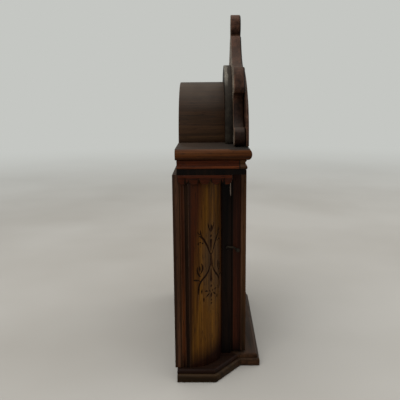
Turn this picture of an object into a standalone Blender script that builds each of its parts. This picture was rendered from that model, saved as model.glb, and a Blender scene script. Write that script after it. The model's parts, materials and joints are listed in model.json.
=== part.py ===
"""Gingerbread mantel clock with a barrel hood, fretted crest and arched door.

Metres, +Z up. The front faces -Y, X runs across the width, and the base stands on Z = 0.
"""

import math

import bmesh
import bpy
from mathutils import Matrix, Vector

# Gap kept between two pieces that touch, and the running gap round a shaft
GAP = 0.0003
RUNNING = 0.00015

# Base with canted front corners: how far it stands out past the case, and where the cants run
BASE_OUT = 0.0090
BASE_BACK_IN = 0.0030
BASE_SIDE_D = 0.0567
BASE_FRONT_OUT = 0.0079
BASE_CANT_D = 0.0296
BASE_LEDGE = 0.0219
BASE_BOARD_T = 0.0118
BASE_TOP_T = 0.0066
BASE_TOP_SETBACK = 0.0035
BASE_EDGE = 0.0022

# Case body between base and cornice
CASE_H = 0.2853
BACK_Y = 0.0635
BACKBOARD_T = 0.0100
STILE_W = 0.0140
STILE_D = 0.0109
FLUTE_R = 0.0016
PANEL_R = 0.0466
PANEL_T = 0.0060
PANEL_TAIL = 0.0060
FRONT_LIP = 0.0035
FRONT_LAP = 0.0006
FRONT_T = 0.0140

# Frieze, cornice and scalloped apron, placed from the case sides, the back and the door's face
FRIEZE_OUT = 0.0045
FRIEZE_BACK_IN = 0.0065
FRIEZE_FRONT_IN = 0.0031
FRIEZE_T = 0.0194
FILLET_IN = 0.0010
BEAD_Z = 0.0098
BEAD_R = 0.0020
BEAD_OUT = 0.0008
HOLLOW_IN = 0.0022
FLARE_H = 0.0034
CORNICE_OUT = 0.0075
CORNICE_BACK_IN = 0.0045
CORNICE_FRONT_OUT = 0.0038
CORNICE_T = 0.0154
CORNICE_NOSE = 0.0055
APRON_T = 0.0030
APRON_BACK_IN = 0.0075
APRON_LOBES = 5
LOBE_R = 0.0075
LOBE_DROP = 0.0058

# Barrel hood and the arched ring board in front of it
HOOD_R = 0.0905
HOOD_T = 0.0082
HOOD_BACK_IN = 0.0048
HOOD_BACK_T = 0.0085
RING_W = 0.0110
RING_T = 0.0110
RING_LAP = 0.0076

# Fretted crest: foot lobes, hollow waists, horns, shoulders and a neck under the finial
CREST_T = 0.0157
CREST_H = 0.1950
FINIAL_R = 0.0180
NECK_HALF = 0.0260
NECK_DROP = 0.0350
SHOULDER_SPAN = 0.0200
SHOULDER_RISE = 0.0300
CREST_CHAMFER = 0.0015
FOOT_IN = 0.0245
FOOT_LOBE_R = 0.0130
WAIST_OUT = 0.0030
WAIST_Z = 0.0620
HORN_OUT = 0.0405
HORN_R = 0.0065
HORN_Z = 0.0790

# Applied crescent boards on the crest, one each side of the door's arch
OVERLAY_T = 0.0038
OVERLAY_IN = 0.0225
OVERLAY_LIFT = 0.0008
OVERLAY_REVEAL = 0.0070
OVERLAY_TIP_AT = 56
OVERLAY_TIP_W = 0.0120
OVERLAY_BROW_AT = 27
OVERLAY_BROW_W = 0.0380

# Door with arched top, glass, hinge pins and latch
DOOR_HALF = 0.1310
DOOR_ARCH_R = 0.1040
DOOR_ARCH_GAP = 0.0020
DOOR_T = 0.0224
DOOR_BOTTOM = 0.0215
DOOR_HEADROOM = 0.0013
STILE_FACE = 0.0310
RAIL_FACE = 0.0265
ARCH_FACE = 0.0240
GLASS_T = 0.0022
REBATE = 0.0050
REBATE_D = 0.0074
GLASS_MARGIN = 0.0006
DOOR_BEAD = 0.0040
DOOR_BEAD_D = 0.0045
PIN_R = 0.0012
PIN_DEPTH = 0.0065
PIN_FROM_EDGE = 0.0025
PIN_FROM_FACE = 0.0071
LATCH_UP = 0.1650
LATCH_LIFT = math.radians(14)
LATCH_T = 0.0011
LATCH_SCREW_FROM_BACK = 0.0098
CATCH_FROM_FRONT = 0.0045
LATCH_WIRE = 0.0021
LATCH_STAND = 0.0008
CATCH_R = 0.0010
SCREW_R = 0.0012
COLLAR_R = 0.0022
SCREW_HEAD_R = 0.0026
SCREW_HEAD_H = 0.0012

# Dial, dial ring and openings of the front board
DIAL_R = 0.0790
DIAL_T = 0.0008
DIAL_OPENING_R = 0.0740
DIAL_RING_W = 0.0045
DIAL_RING_H = 0.0072
WINDOW_HALF = 0.0980
WINDOW_SILL = 0.0270
WINDOW_HEAD = 0.0140

# Movement plates
PLATE_T = 0.0015
PLATE_HALF = 0.0530
PLATE_LOW = -0.0570
PLATE_HIGH = 0.0450
PLATE_FROM_DIAL = 0.0163
PLATE_SPAN = 0.0305
PILLAR_R = 0.0030
PILLAR_INSET = 0.0070
FOOT_R = 0.0040

# Motion work that makes the hour hand turn once for twelve turns of the minute hand
ARBOR_R = 0.0015
WHEEL_T = 0.0012
CANNON_TEETH = 12
MINUTE_TEETH = 36
MINUTE_MODULE = 0.000625
PINION_TEETH = 10
HOUR_TEETH = 40
HOUR_MODULE = 0.000600
STUD_R = 0.0010
PIPE_WALL = 0.0008

# Hands
HOUR_LENGTH = 0.0470
MINUTE_LENGTH = 0.0650
HAND_T = 0.0008
HOUR_AT = math.radians(305)
MINUTE_AT = math.radians(60)

# Winding arbors and mainsprings
WIND_X = 0.0260
WIND_DROP = 0.0200
WIND_R = 0.0020
WIND_REACH = 0.0022
KEYHOLE_R = 0.0040
SPRING_HUB_R = 0.0050
SPRING_R = 0.0200
SPRING_W = 0.0150
RATCHET_R = 0.0095
RATCHET_TEETH = 18

# Escapement, pendulum and suspension
VERGE_DROP = 0.0200
ESCAPE_DROP = 0.0370
ESCAPE_R = 0.0120
ESCAPE_TEETH = 30
VERGE_CLEAR = 0.0013
VERGE_BAND = 0.0014
VERGE_HUB_R = 0.0019
VERGE_PIN_R = 0.0008
COCK_HALF = 0.0025
COCK_H = 0.0040
PENDULUM_FROM_PLATE = 0.0070
ROD_R = 0.0009
STRIP_W = 0.0030
STRIP_T = 0.0005
PENDULUM_L = 0.1680
BOB_R = 0.0300
BOB_T = 0.0090

# Coil gong, its post and the strike hammer
GONG_UP = 0.0810
GONG_FROM_BACK = 0.0115
GONG_WIRE_R = 0.0015
GONG_INNER_R = 0.0120
GONG_PITCH = 0.0062
GONG_TURNS = 4.5
TURN_POINTS = 24
HAMMER_X = 0.0360
HAMMER_DROP = 0.0500
HAMMER_HEAD_R = 0.0035
HAMMER_HEAD_L = 0.0110
HAMMER_AT = math.radians(20)
HAMMER_GAP = 0.0009
HAMMER_ARM_R = 0.0010

# Segments of a half circle in the large arches, and of a small shaft
ARCH_SEGMENTS = 28
SHAFT_SEGMENTS = 16

# Widths that follow from the door
FRONT_HALF = DOOR_HALF + FRONT_LIP
CASE_HALF = FRONT_HALF - FRONT_LAP + PANEL_R
FRIEZE_HALF = CASE_HALF + FRIEZE_OUT
CORNICE_HALF = CASE_HALF + CORNICE_OUT
BASE_HALF = CASE_HALF + BASE_OUT
BASE_FRONT_HALF = DOOR_HALF + BASE_FRONT_OUT
CREST_HALF = CORNICE_HALF - FOOT_IN
OVERLAY_HALF = CORNICE_HALF - OVERLAY_IN

# Heights and depths that follow from the sizes above
BASE_TOP = BASE_BOARD_T + GAP + BASE_TOP_T
CASE_FLOOR = BASE_TOP + GAP
CASE_TOP = CASE_FLOOR + CASE_H
FRIEZE_Z = CASE_TOP + GAP
CORNICE_Z = FRIEZE_Z + FRIEZE_T + GAP
ARCH_Z = CORNICE_Z + CORNICE_T + GAP
WINDOW_LOW = CASE_FLOOR + WINDOW_SILL
WINDOW_HIGH = ARCH_Z - DIAL_OPENING_R - WINDOW_HEAD
LATCH_Z = CASE_FLOOR + LATCH_UP
GONG_Z = CASE_FLOOR + GONG_UP
BACK_FACE = BACK_Y - BACKBOARD_T
STILE_BACK = BACK_FACE - GAP
PANEL_Y = STILE_BACK - STILE_D - GAP
FRONT_BACK = PANEL_Y - PANEL_R - GAP
FRONT_FACE = FRONT_BACK - FRONT_T
DOOR_BACK = FRONT_FACE - GAP
DOOR_FACE = DOOR_BACK - DOOR_T
BASE_BACK = BACK_Y - BASE_BACK_IN
BASE_SIDE_FRONT = BASE_BACK - BASE_SIDE_D
BASE_FRONT = DOOR_FACE - BASE_LEDGE
BASE_CANT_FRONT = BASE_FRONT + BASE_CANT_D
FRIEZE_BACK = BACK_Y - FRIEZE_BACK_IN
FRIEZE_FRONT = DOOR_FACE + FRIEZE_FRONT_IN
CORNICE_BACK = BACK_Y - CORNICE_BACK_IN
CORNICE_FRONT = DOOR_FACE - CORNICE_FRONT_OUT
APRON_BACK = BACK_Y - APRON_BACK_IN
HOOD_BACK = BACK_Y - HOOD_BACK_IN
RING_BACK = FRONT_FACE + RING_LAP
RING_FACE = RING_BACK - RING_T
CREST_BACK = RING_FACE - GAP
CREST_FACE = CREST_BACK - CREST_T
HOOD_IN_R = HOOD_R - HOOD_T
NECK_R = HOOD_IN_R - GAP
SURROUND_R = DOOR_ARCH_R + DOOR_ARCH_GAP
RING_R = SURROUND_R + RING_W
DOOR_TOP = CASE_TOP - DOOR_HEADROOM
GLASS_HALF = DOOR_HALF - STILE_FACE
GLASS_ARCH_R = DOOR_ARCH_R - ARCH_FACE
DIAL_BACK = FRONT_BACK + GAP + DIAL_T
PLATE_FRONT = DIAL_BACK + PLATE_FROM_DIAL
PLATE_BACK = PLATE_FRONT + PLATE_T + PLATE_SPAN
HOOD_BACK_FACE = HOOD_BACK - HOOD_BACK_T
PIVOT_Z = ARCH_Z - VERGE_DROP
PENDULUM_Y = PLATE_FRONT - PENDULUM_FROM_PLATE
GONG_Y = BACK_FACE - GONG_FROM_BACK
PIN_X = DOOR_HALF - PIN_FROM_EDGE
PIN_Y = DOOR_FACE + PIN_FROM_FACE

FINISHES = {
    "walnut": ((0.085, 0.038, 0.022), 0.45, 0.0),
    "dark_walnut": ((0.045, 0.024, 0.017), 0.50, 0.0),
    "red_walnut": ((0.120, 0.040, 0.022), 0.42, 0.0),
    "golden_veneer": ((0.300, 0.130, 0.045), 0.40, 0.0),
    "pine": ((0.320, 0.190, 0.090), 0.70, 0.0),
    "brass": ((0.600, 0.410, 0.150), 0.32, 1.0),
    "steel": ((0.330, 0.330, 0.340), 0.35, 1.0),
    "blued_steel": ((0.020, 0.022, 0.030), 0.35, 0.8),
    "cast_iron": ((0.050, 0.050, 0.052), 0.60, 0.7),
    "dial_paint": ((0.820, 0.780, 0.660), 0.55, 0.0),
    "glass": ((0.900, 0.930, 0.920), 0.05, 0.0),
}

FACING = {
    "up": Matrix(((1, 0, 0, 0), (0, 1, 0, 0), (0, 0, 1, 0), (0, 0, 0, 1))),
    "front": Matrix(((1, 0, 0, 0), (0, 0, -1, 0), (0, 1, 0, 0), (0, 0, 0, 1))),
    "side": Matrix(((0, 0, 1, 0), (1, 0, 0, 0), (0, 1, 0, 0), (0, 0, 0, 1))),
    "left": Matrix(((0, 0, -1, 0), (0, 1, 0, 0), (1, 0, 0, 0), (0, 0, 0, 1))),
}
AXIS_OF = {"up": Vector((0, 0, 1)), "front": Vector((0, 1, 0)), "side": Vector((1, 0, 0))}


def new_collection(name):
    collection = bpy.data.collections.new(name)
    bpy.context.scene.collection.children.link(collection)
    return collection


for old in list(bpy.data.objects):
    bpy.data.objects.remove(old)
PARTS = new_collection("gingerbread_mantel_clock")
CUTTERS = new_collection("clock_cutters")


def material(name, finish):
    """A Principled material of the piece's own."""
    colour, roughness, metallic = FINISHES[finish]
    made = bpy.data.materials.new(name)
    made.use_nodes = True
    shader = made.node_tree.nodes["Principled BSDF"]
    shader.inputs["Base Color"].default_value = (*colour, 1.0)
    shader.inputs["Roughness"].default_value = roughness
    shader.inputs["Metallic"].default_value = metallic
    return made


def place(name, mesh, finish, origin):
    """Links a mesh given in world coordinates, with the object's origin where it is asked for."""
    mesh.transform(Matrix.Translation(-Vector(origin)))
    made = bpy.data.objects.new(name, mesh)
    made.location = origin
    if finish is None:
        made.hide_render = True
        made.display_type = "WIRE"
        CUTTERS.objects.link(made)
        return made
    mesh.materials.clear()
    mesh.materials.append(material(name, finish))
    PARTS.objects.link(made)
    return made


def closed_mesh(name, bm):
    """A mesh from a bmesh, welded and with its faces pointing out."""
    bmesh.ops.remove_doubles(bm, verts=bm.verts, dist=1e-6)
    bmesh.ops.recalc_face_normals(bm, faces=bm.faces)
    mesh = bpy.data.meshes.new(name)
    bm.to_mesh(mesh)
    bm.free()
    return mesh


def curve_mesh(name, curve):
    """The evaluated mesh of a curve, welded."""
    holder = bpy.data.objects.new(name, curve)
    bpy.context.scene.collection.objects.link(holder)
    seen = holder.evaluated_get(bpy.context.evaluated_depsgraph_get())
    bm = bmesh.new()
    bm.from_mesh(bpy.data.meshes.new_from_object(seen))
    bpy.data.objects.remove(holder)
    return closed_mesh(name, bm)


def flat(name, loops, span, facing, finish, origin=(0, 0, 0)):
    """A board with the outline and holes of the loops, between two values along its normal."""
    curve = bpy.data.curves.new(name, "CURVE")
    curve.dimensions = "2D"
    curve.fill_mode = "BOTH"
    curve.extrude = abs(span[1] - span[0]) / 2
    for loop in loops:
        spline = curve.splines.new("POLY")
        spline.points.add(len(loop) - 1)
        for point, (u, v) in zip(spline.points, loop):
            point.co = (u, v, 0, 1)
        spline.use_cyclic_u = True
    mesh = curve_mesh(name, curve)
    mesh.transform(Matrix.Translation(AXIS_OF[facing] * (span[0] + span[1]) / 2) @ FACING[facing])
    return place(name, mesh, finish, origin)


def lofted(name, sections, facing, finish, origin=(0, 0, 0)):
    """A solid through sections of equally many points, each at its own value along the normal."""
    bm = bmesh.new()
    rings = []
    for value, loop in sections:
        shift = Matrix.Translation(AXIS_OF[facing] * value) @ FACING[facing]
        rings.append([bm.verts.new(shift @ Vector((u, v, 0))) for u, v in loop])
    for lower, upper in zip(rings, rings[1:]):
        for i in range(len(lower)):
            j = (i + 1) % len(lower)
            bm.faces.new((lower[i], lower[j], upper[j], upper[i]))
    bm.faces.new(rings[0])
    bm.faces.new(rings[-1])
    return place(name, closed_mesh(name, bm), finish, origin)


def turned(name, profile, centre, facing, finish, steps=32, closed=False):
    """A turned piece: the profile's (radius, height) points run down its outer side."""
    bm = bmesh.new()
    verts = [bm.verts.new((radius, 0, height)) for radius, height in profile]
    ends = list(zip(verts, verts[1:])) + ([(verts[-1], verts[0])] if closed else [])
    for start, end in ends:
        bm.edges.new((start, end))
    mesh = bpy.data.meshes.new(name)
    bm.to_mesh(mesh)
    bm.free()
    made = place(name, mesh, finish, (0, 0, 0))
    made.matrix_world = Matrix.Translation(centre) @ FACING[facing]
    screw = made.modifiers.new("turning", "SCREW")
    screw.axis = "Z"
    screw.steps = screw.render_steps = steps
    screw.use_merge_vertices = True
    screw.merge_threshold = 0.00001
    return made


def rod(name, points, radius, finish, origin=(0, 0, 0), resolution=2):
    """A wire or shaft along the points, with filled ends."""
    curve = bpy.data.curves.new(name, "CURVE")
    curve.dimensions = "3D"
    curve.bevel_depth = radius
    curve.bevel_resolution = resolution
    curve.use_fill_caps = True
    spline = curve.splines.new("POLY")
    spline.points.add(len(points) - 1)
    for point, place_of in zip(spline.points, points):
        point.co = (*place_of, 1)
    return place(name, curve_mesh(name, curve), finish, origin)


def shaft(name, at, ends, radius, finish, origin=None, facing="front", segments=SHAFT_SEGMENTS):
    """A plain round pin between two values along its axis."""
    where = {"up": (at[0], at[1], 0), "front": (at[0], 0, at[1]), "side": (0, at[0], at[1])}[facing]
    bm = bmesh.new()
    bmesh.ops.create_cone(bm, cap_ends=True, segments=segments, radius1=radius, radius2=radius,
                          depth=abs(ends[1] - ends[0]))
    mesh = closed_mesh(name, bm)
    middle = Vector(where) + AXIS_OF[facing] * (ends[0] + ends[1]) / 2
    mesh.transform(Matrix.Translation(middle) @ FACING[facing])
    return place(name, mesh, finish, origin or (0, 0, 0))


def block(name, low, high, finish, origin=(0, 0, 0)):
    """A box between two corners."""
    bm = bmesh.new()
    bmesh.ops.create_cube(bm, size=1.0)
    size = Vector(high) - Vector(low)
    mesh = closed_mesh(name, bm)
    mesh.transform(Matrix.Translation((Vector(low) + Vector(high)) / 2) @ Matrix.Diagonal((*size, 1)))
    return place(name, mesh, finish, origin)


def combine(target, tool, operation):
    """Adds a Boolean with a hidden tool to a piece."""
    boolean = target.modifiers.new(operation.lower(), "BOOLEAN")
    boolean.operation = operation
    boolean.object = tool
    return target


def cut(target, *tools):
    for tool in tools:
        combine(target, tool, "DIFFERENCE")
    return target


def join(target, *tools):
    for tool in tools:
        combine(target, tool, "UNION")
    return target


def soften(piece, width, segments=1, angle=40):
    """Rounds a piece's sharp edges."""
    bevel = piece.modifiers.new("edges", "BEVEL")
    bevel.width = width
    bevel.segments = segments
    bevel.limit_method = "ANGLE"
    bevel.angle_limit = math.radians(angle)
    return piece


def arc(centre, radius, start, end, segments):
    """Points along an arc, its angles in degrees."""
    points = []
    for i in range(segments + 1):
        angle = math.radians(start + (end - start) * i / segments)
        points.append((centre[0] + radius * math.cos(angle), centre[1] + radius * math.sin(angle)))
    return points


def bend(start, pull, end, steps):
    """Points of a curve that leaves start towards pull and comes from there to end."""
    points = []
    for i in range(1, steps + 1):
        t = i / steps
        points.append(tuple(a * (1 - t) ** 2 + 2 * b * t * (1 - t) + c * t * t
                            for a, b, c in zip(start, pull, end)))
    return points


def between(start, end, across, up):
    """A point at one share of the way across and another of the way up between two points."""
    return (start[0] + (end[0] - start[0]) * across, start[1] + (end[1] - start[1]) * up)


def on_arch(radius, angle):
    """A point at a radius and an angle from the arch's centre."""
    return (radius * math.cos(math.radians(angle)), radius * math.sin(math.radians(angle)))


def above_cornice(points):
    return [(x, ARCH_Z + z) for x, z in points]


def circle(centre, radius, segments=SHAFT_SEGMENTS):
    return arc(centre, radius, 0, 360, segments)[:-1]


def rectangle(low, high):
    return [low, (high[0], low[1]), high, (low[0], high[1])]


def arched_loop(half, bottom, shoulder, radius):
    """A wide lower part with shoulders under a narrower round arch."""
    top = arc((0, ARCH_Z), radius, 0, 180, ARCH_SEGMENTS)
    lower = [(-half, shoulder), (-half, bottom), (half, bottom), (half, shoulder)]
    return [(-radius, shoulder)] + lower + [(radius, shoulder)] + top


def mirrored(points):
    return [(-x, y) for x, y in reversed(points)]


def inset(points, distances):
    """An outline whose edges move inward, each by its own distance."""
    lines = []
    for i, (x, y) in enumerate(points):
        next_x, next_y = points[(i + 1) % len(points)]
        length = math.hypot(next_x - x, next_y - y)
        along = ((next_x - x) / length, (next_y - y) / length)
        away = distances[i]
        lines.append(((x - along[1] * away, y + along[0] * away), along))
    moved = []
    for i in range(len(points)):
        (ax, ay), (ux, uy) = lines[i - 1]
        (bx, by), (vx, vy) = lines[i]
        cross = ux * vy - uy * vx
        step = ((bx - ax) * vy - (by - ay) * vx) / cross
        moved.append((ax + ux * step, ay + uy * step))
    return moved


def sides():
    return (("left", -1), ("right", 1))


def handed(points, side):
    """Points given for the left side, mirrored for the right one."""
    return points if side < 0 else mirrored(points)


def moulded(name, outline, edges, low, profile, finish, side=-1):
    """A slab on the height low whose chosen edges follow a profile of (height, setback) points."""
    sections = [(low + z, handed(inset(outline, [setback if edge else 0 for edge in edges]), side))
                for z, setback in profile]
    return lofted(name, sections, "up", finish)


def make_base():
    """A flat board with canted front corners, and a rounded moulding on it."""
    outline = [(-BASE_HALF, BASE_BACK), (-BASE_HALF, BASE_SIDE_FRONT),
               (-BASE_FRONT_HALF, BASE_CANT_FRONT), (-BASE_FRONT_HALF, BASE_FRONT)]
    outline = outline + mirrored(outline)
    edges = [True] * (len(outline) - 1) + [False]
    board = [(0, BASE_EDGE / 2), (BASE_EDGE / 2, 0), (BASE_BOARD_T - BASE_EDGE, 0),
             (BASE_BOARD_T, BASE_EDGE)]
    moulded("base_board", outline, edges, 0, board, "dark_walnut")
    low = BASE_BOARD_T + GAP
    half = BASE_TOP_T / 2
    top = [(0, BASE_TOP_SETBACK)]
    top += [(z, BASE_TOP_SETBACK + half - x) for x, z in arc((0, half), half, 0, 90, 5)]
    made = moulded("base_top", outline, edges, low, top, "walnut")
    bore = shaft("lower_pin_bore", (PIN_X, PIN_Y), (low - GAP, BASE_TOP + GAP), PIN_R + RUNNING,
                 None, facing="up")
    cut(made, bore)


def make_backs():
    flat("backboard", [rectangle((-CASE_HALF, CASE_FLOOR), (CASE_HALF, CASE_TOP))],
         (BACK_FACE, BACK_Y), "front", "pine")
    arch = arc((0, ARCH_Z), NECK_R, 0, 180, ARCH_SEGMENTS)
    flat("hood_back", [[(-NECK_R, FRIEZE_Z), (NECK_R, FRIEZE_Z)] + arch],
         (HOOD_BACK_FACE, HOOD_BACK), "front", "pine")


def stile_outline():
    """Plan of the left rear stile, with two flutes in its outer face."""
    outer = -CASE_HALF
    points = [(outer + STILE_W, STILE_BACK), (outer, STILE_BACK)]
    for share in (0.30, 0.72):
        middle = STILE_BACK - STILE_D * share
        points += arc((outer, middle), FLUTE_R, 90, -90, 6)
    return points + [(outer, STILE_BACK - STILE_D), (outer + STILE_W, STILE_BACK - STILE_D)]


def panel_outline():
    """Plan of the left side panel: a convex quarter round with a short tail behind the front."""
    centre = (PANEL_R - CASE_HALF, PANEL_Y)
    outer = arc(centre, PANEL_R, 180, 270, 12)
    inner = arc(centre, PANEL_R - PANEL_T, 270, 180, 12)
    tail = centre[0] + PANEL_TAIL
    return outer + [(tail, PANEL_Y - PANEL_R), (tail, PANEL_Y - PANEL_R + PANEL_T)] + inner


def make_sides():
    for word, side in sides():
        flat("stile_" + word, [handed(stile_outline(), side)], (CASE_FLOOR, CASE_TOP), "up",
             "walnut")
        flat("side_panel_" + word, [handed(panel_outline(), side)], (CASE_FLOOR, CASE_TOP), "up",
             "golden_veneer")


def make_case_front():
    outline = arched_loop(FRONT_HALF, CASE_FLOOR, CASE_TOP, NECK_R)
    dial_hole = circle((0, ARCH_Z), DIAL_OPENING_R, 2 * ARCH_SEGMENTS)
    window = rectangle((-WINDOW_HALF, WINDOW_LOW), (WINDOW_HALF, WINDOW_HIGH))
    flat("case_front", [outline, dial_hole, window], (FRONT_FACE, FRONT_BACK), "front",
         "dark_walnut")


def make_aprons():
    pitch = 2 * LOBE_R
    points = [(APRON_BACK - APRON_LOBES * pitch, CASE_TOP), (APRON_BACK, CASE_TOP)]
    for lobe in range(APRON_LOBES):
        middle = APRON_BACK - pitch * (lobe + 0.5)
        points += arc((middle, CASE_TOP - LOBE_DROP), LOBE_R, 0, -180, 8)[1 if lobe else 0:]
    for word, side in sides():
        near, far = CASE_HALF + GAP, CASE_HALF + GAP + APRON_T
        flat("apron_" + word, [points], (side * near, side * far), "side", "dark_walnut")


def head_outline(half, back, front):
    """Plan of the left head block: along the side, then a short return along the front."""
    inner = -(NECK_R + GAP)
    mouth = -(SURROUND_R + GAP)
    return [(-half, back), (-half, front), (mouth, front), (mouth, FRONT_FACE - GAP),
            (inner, FRONT_FACE - GAP), (inner, back)]


def frieze_profile():
    """Heights and setbacks of a fillet, a bead, a hollow and a flared top."""
    bead = [(BEAD_Z + z, -x * BEAD_OUT / BEAD_R) for x, z in arc((0, 0), BEAD_R, -90, 90, 4)]
    low, high = bead[0][0] - FILLET_IN, bead[-1][0] + FILLET_IN
    return ([(0, FILLET_IN), (low, FILLET_IN)] + bead
            + [(high, HOLLOW_IN), (FRIEZE_T - FLARE_H, HOLLOW_IN), (FRIEZE_T, 0)])


def nose_profile():
    """Heights and setbacks of the cornice's rounded nose."""
    half = CORNICE_T / 2
    return [(half + z, CORNICE_NOSE * (1 - x / half)) for x, z in arc((0, 0), half, -90, 90, 10)]


def make_cornice():
    frieze = head_outline(FRIEZE_HALF, FRIEZE_BACK, FRIEZE_FRONT)
    cornice = head_outline(CORNICE_HALF, CORNICE_BACK, CORNICE_FRONT)
    edges = [True, True, False, False, False, False]
    for word, side in sides():
        moulded("frieze_" + word, frieze, edges, FRIEZE_Z, frieze_profile(), "dark_walnut", side)
        moulded("cornice_" + word, cornice, edges, CORNICE_Z, nose_profile(), "red_walnut", side)
    bore = shaft("upper_pin_bore", (PIN_X, PIN_Y), (FRIEZE_Z - GAP, FRIEZE_Z + PIN_DEPTH),
                 PIN_R + RUNNING, None, facing="up")
    cut(bpy.data.objects["frieze_right"], bore)


def half_ring(outer, inner):
    return (arc((0, ARCH_Z), outer, 0, 180, ARCH_SEGMENTS)
            + arc((0, ARCH_Z), inner, 180, 0, ARCH_SEGMENTS))


def make_hood():
    flat("hood", [half_ring(HOOD_R, HOOD_IN_R)], (RING_BACK + GAP, HOOD_BACK), "front", "walnut")
    ring = flat("arch_board", [half_ring(RING_R, HOOD_IN_R)], (RING_FACE, RING_BACK), "front",
                "dark_walnut")
    seat = shaft("door_arch_seat", (0, ARCH_Z), (RING_FACE - RING_T, FRONT_FACE), SURROUND_R, None,
                 segments=4 * ARCH_SEGMENTS)
    cut(ring, seat)


def crest_outline():
    """Right half of the fretted crest above the cornice, from its foot up to the finial."""
    lobe = arc((CREST_HALF - FOOT_LOBE_R, FOOT_LOBE_R), FOOT_LOBE_R, -90, 150, 12)
    waist = (SURROUND_R + WAIST_OUT, WAIST_Z)
    tip = SURROUND_R + HORN_OUT
    horn = arc((tip - HORN_R, HORN_Z), HORN_R, -60, 40, 5)
    shoulder = (tip - SHOULDER_SPAN, HORN_Z + SHOULDER_RISE)
    neck = (NECK_HALF, CREST_H - NECK_DROP)
    disc = arc((0, CREST_H - FINIAL_R), FINIAL_R, -50, 90, 14)[:-1]
    points = [(SURROUND_R, 0)] + lobe
    points += bend(lobe[-1], between(lobe[-1], waist, 0.90, 0.32), waist, 6)
    points += bend(waist, between(waist, horn[0], 0.0, 1.1), horn[0], 5)[:-1] + horn
    points += bend(horn[-1], between(horn[-1], shoulder, 0.40, 0.66), shoulder, 6)
    points += bend(shoulder, between(shoulder, neck, 0.61, -0.10), neck, 9)
    return above_cornice(points + [(disc[0][0] + FINIAL_R / 5, neck[1])] + disc)


def make_crest():
    half = crest_outline()
    inner = arc((0, ARCH_Z), SURROUND_R, 180, 0, ARCH_SEGMENTS)[1:-1]
    outer = half + [(0, ARCH_Z + CREST_H)] + mirrored(half)
    chamfer = [0.0] + [CREST_CHAMFER] * (len(outer) - 3) + [0.0] * (len(inner) + 2)
    loop = outer + inner
    lofted("crest", [(CREST_BACK, loop), (CREST_FACE + CREST_CHAMFER, loop),
                     (CREST_FACE, inset(loop, chamfer))], "front", "dark_walnut")


def overlay_outline():
    """Right crescent board: it follows the arch inside and swells out down to its foot."""
    near = SURROUND_R + OVERLAY_REVEAL
    start = math.degrees(math.asin(OVERLAY_LIFT / near))
    inner = arc((0, 0), near, start, OVERLAY_TIP_AT, 14)
    half = OVERLAY_TIP_W / 2
    crown = arc(on_arch(near + half, OVERLAY_TIP_AT), half, OVERLAY_TIP_AT + 180, OVERLAY_TIP_AT, 7)
    brow = on_arch(near + OVERLAY_BROW_W, OVERLAY_BROW_AT)
    foot = (OVERLAY_HALF, OVERLAY_LIFT)
    points = inner + crown[1:] + bend(crown[-1], between(crown[-1], brow, 0.59, 0.37), brow, 7)
    return above_cornice(points + bend(brow, between(brow, foot, 0.98, 0.27), foot, 8))


def make_overlays():
    right = overlay_outline()
    span = (CREST_FACE - GAP - OVERLAY_T, CREST_FACE - GAP)
    for word, side in sides():
        flat("crest_overlay_" + word, [handed(mirrored(right), side)], span, "front", "walnut")


def make_dial():
    holes = [circle((0, ARCH_Z), KEYHOLE_R)]
    holes += [circle((side * WIND_X, ARCH_Z - WIND_DROP), KEYHOLE_R) for _, side in sides()]
    flat("dial", [circle((0, ARCH_Z), DIAL_R, 2 * ARCH_SEGMENTS)] + holes,
         (FRONT_BACK + GAP, DIAL_BACK), "front", "dial_paint")
    outer = DIAL_OPENING_R - GAP
    profile = [(outer - 0.0012, DIAL_RING_H), (outer, DIAL_RING_H - 0.0012), (outer, 0),
               (outer - DIAL_RING_W, 0), (outer - DIAL_RING_W, 0.0020)]
    turned("dial_ring", profile, (0, FRONT_BACK, ARCH_Z), "front", "brass",
           steps=2 * ARCH_SEGMENTS, closed=True)


def hand_outline(length, eye, waist):
    """Half of a spade hand pointing up, from its tail to its tip."""
    return ([(0.0012, eye * 0.85), (waist, length * 0.22), (waist * 0.75, length * 0.55)]
            + arc((0, length * 0.70), length * 0.085, -40, 60, 6)
            + [(0.0009, length * 0.82)])


def make_hand(name, length, angle, bore, span):
    eye = bore + 0.0024
    half = hand_outline(length, eye, length * 0.030)
    start = math.degrees(math.atan2(half[0][1], half[0][0]))
    ring = arc((0, 0), eye, 180 - start, 360 + start, 20)[1:-1]
    outline = half + [(0, length)] + mirrored(half) + ring
    turn = Matrix.Rotation(-angle, 2)
    centre = Vector((0, ARCH_Z))
    spun = [tuple(centre + turn @ Vector(point)) for point in outline]
    flat(name, [spun, circle((0, ARCH_Z), bore)], span, "front", "blued_steel",
         origin=(0, 0, ARCH_Z))


def gear_outline(centre, teeth, module, phase):
    """A gear with straight-sided teeth, a tooth standing at the phase angle."""
    pitch_r = teeth * module / 2
    points = []
    for tooth in range(teeth):
        middle = phase + tooth * 2 * math.pi / teeth
        for radius, share in ((pitch_r - 1.15 * module, -0.30), (pitch_r + 0.80 * module, -0.10),
                              (pitch_r + 0.80 * module, 0.10), (pitch_r - 1.15 * module, 0.30)):
            angle = middle + share * 2 * math.pi / teeth
            points.append((centre[0] + radius * math.cos(angle),
                           centre[1] + radius * math.sin(angle)))
    return points


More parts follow.
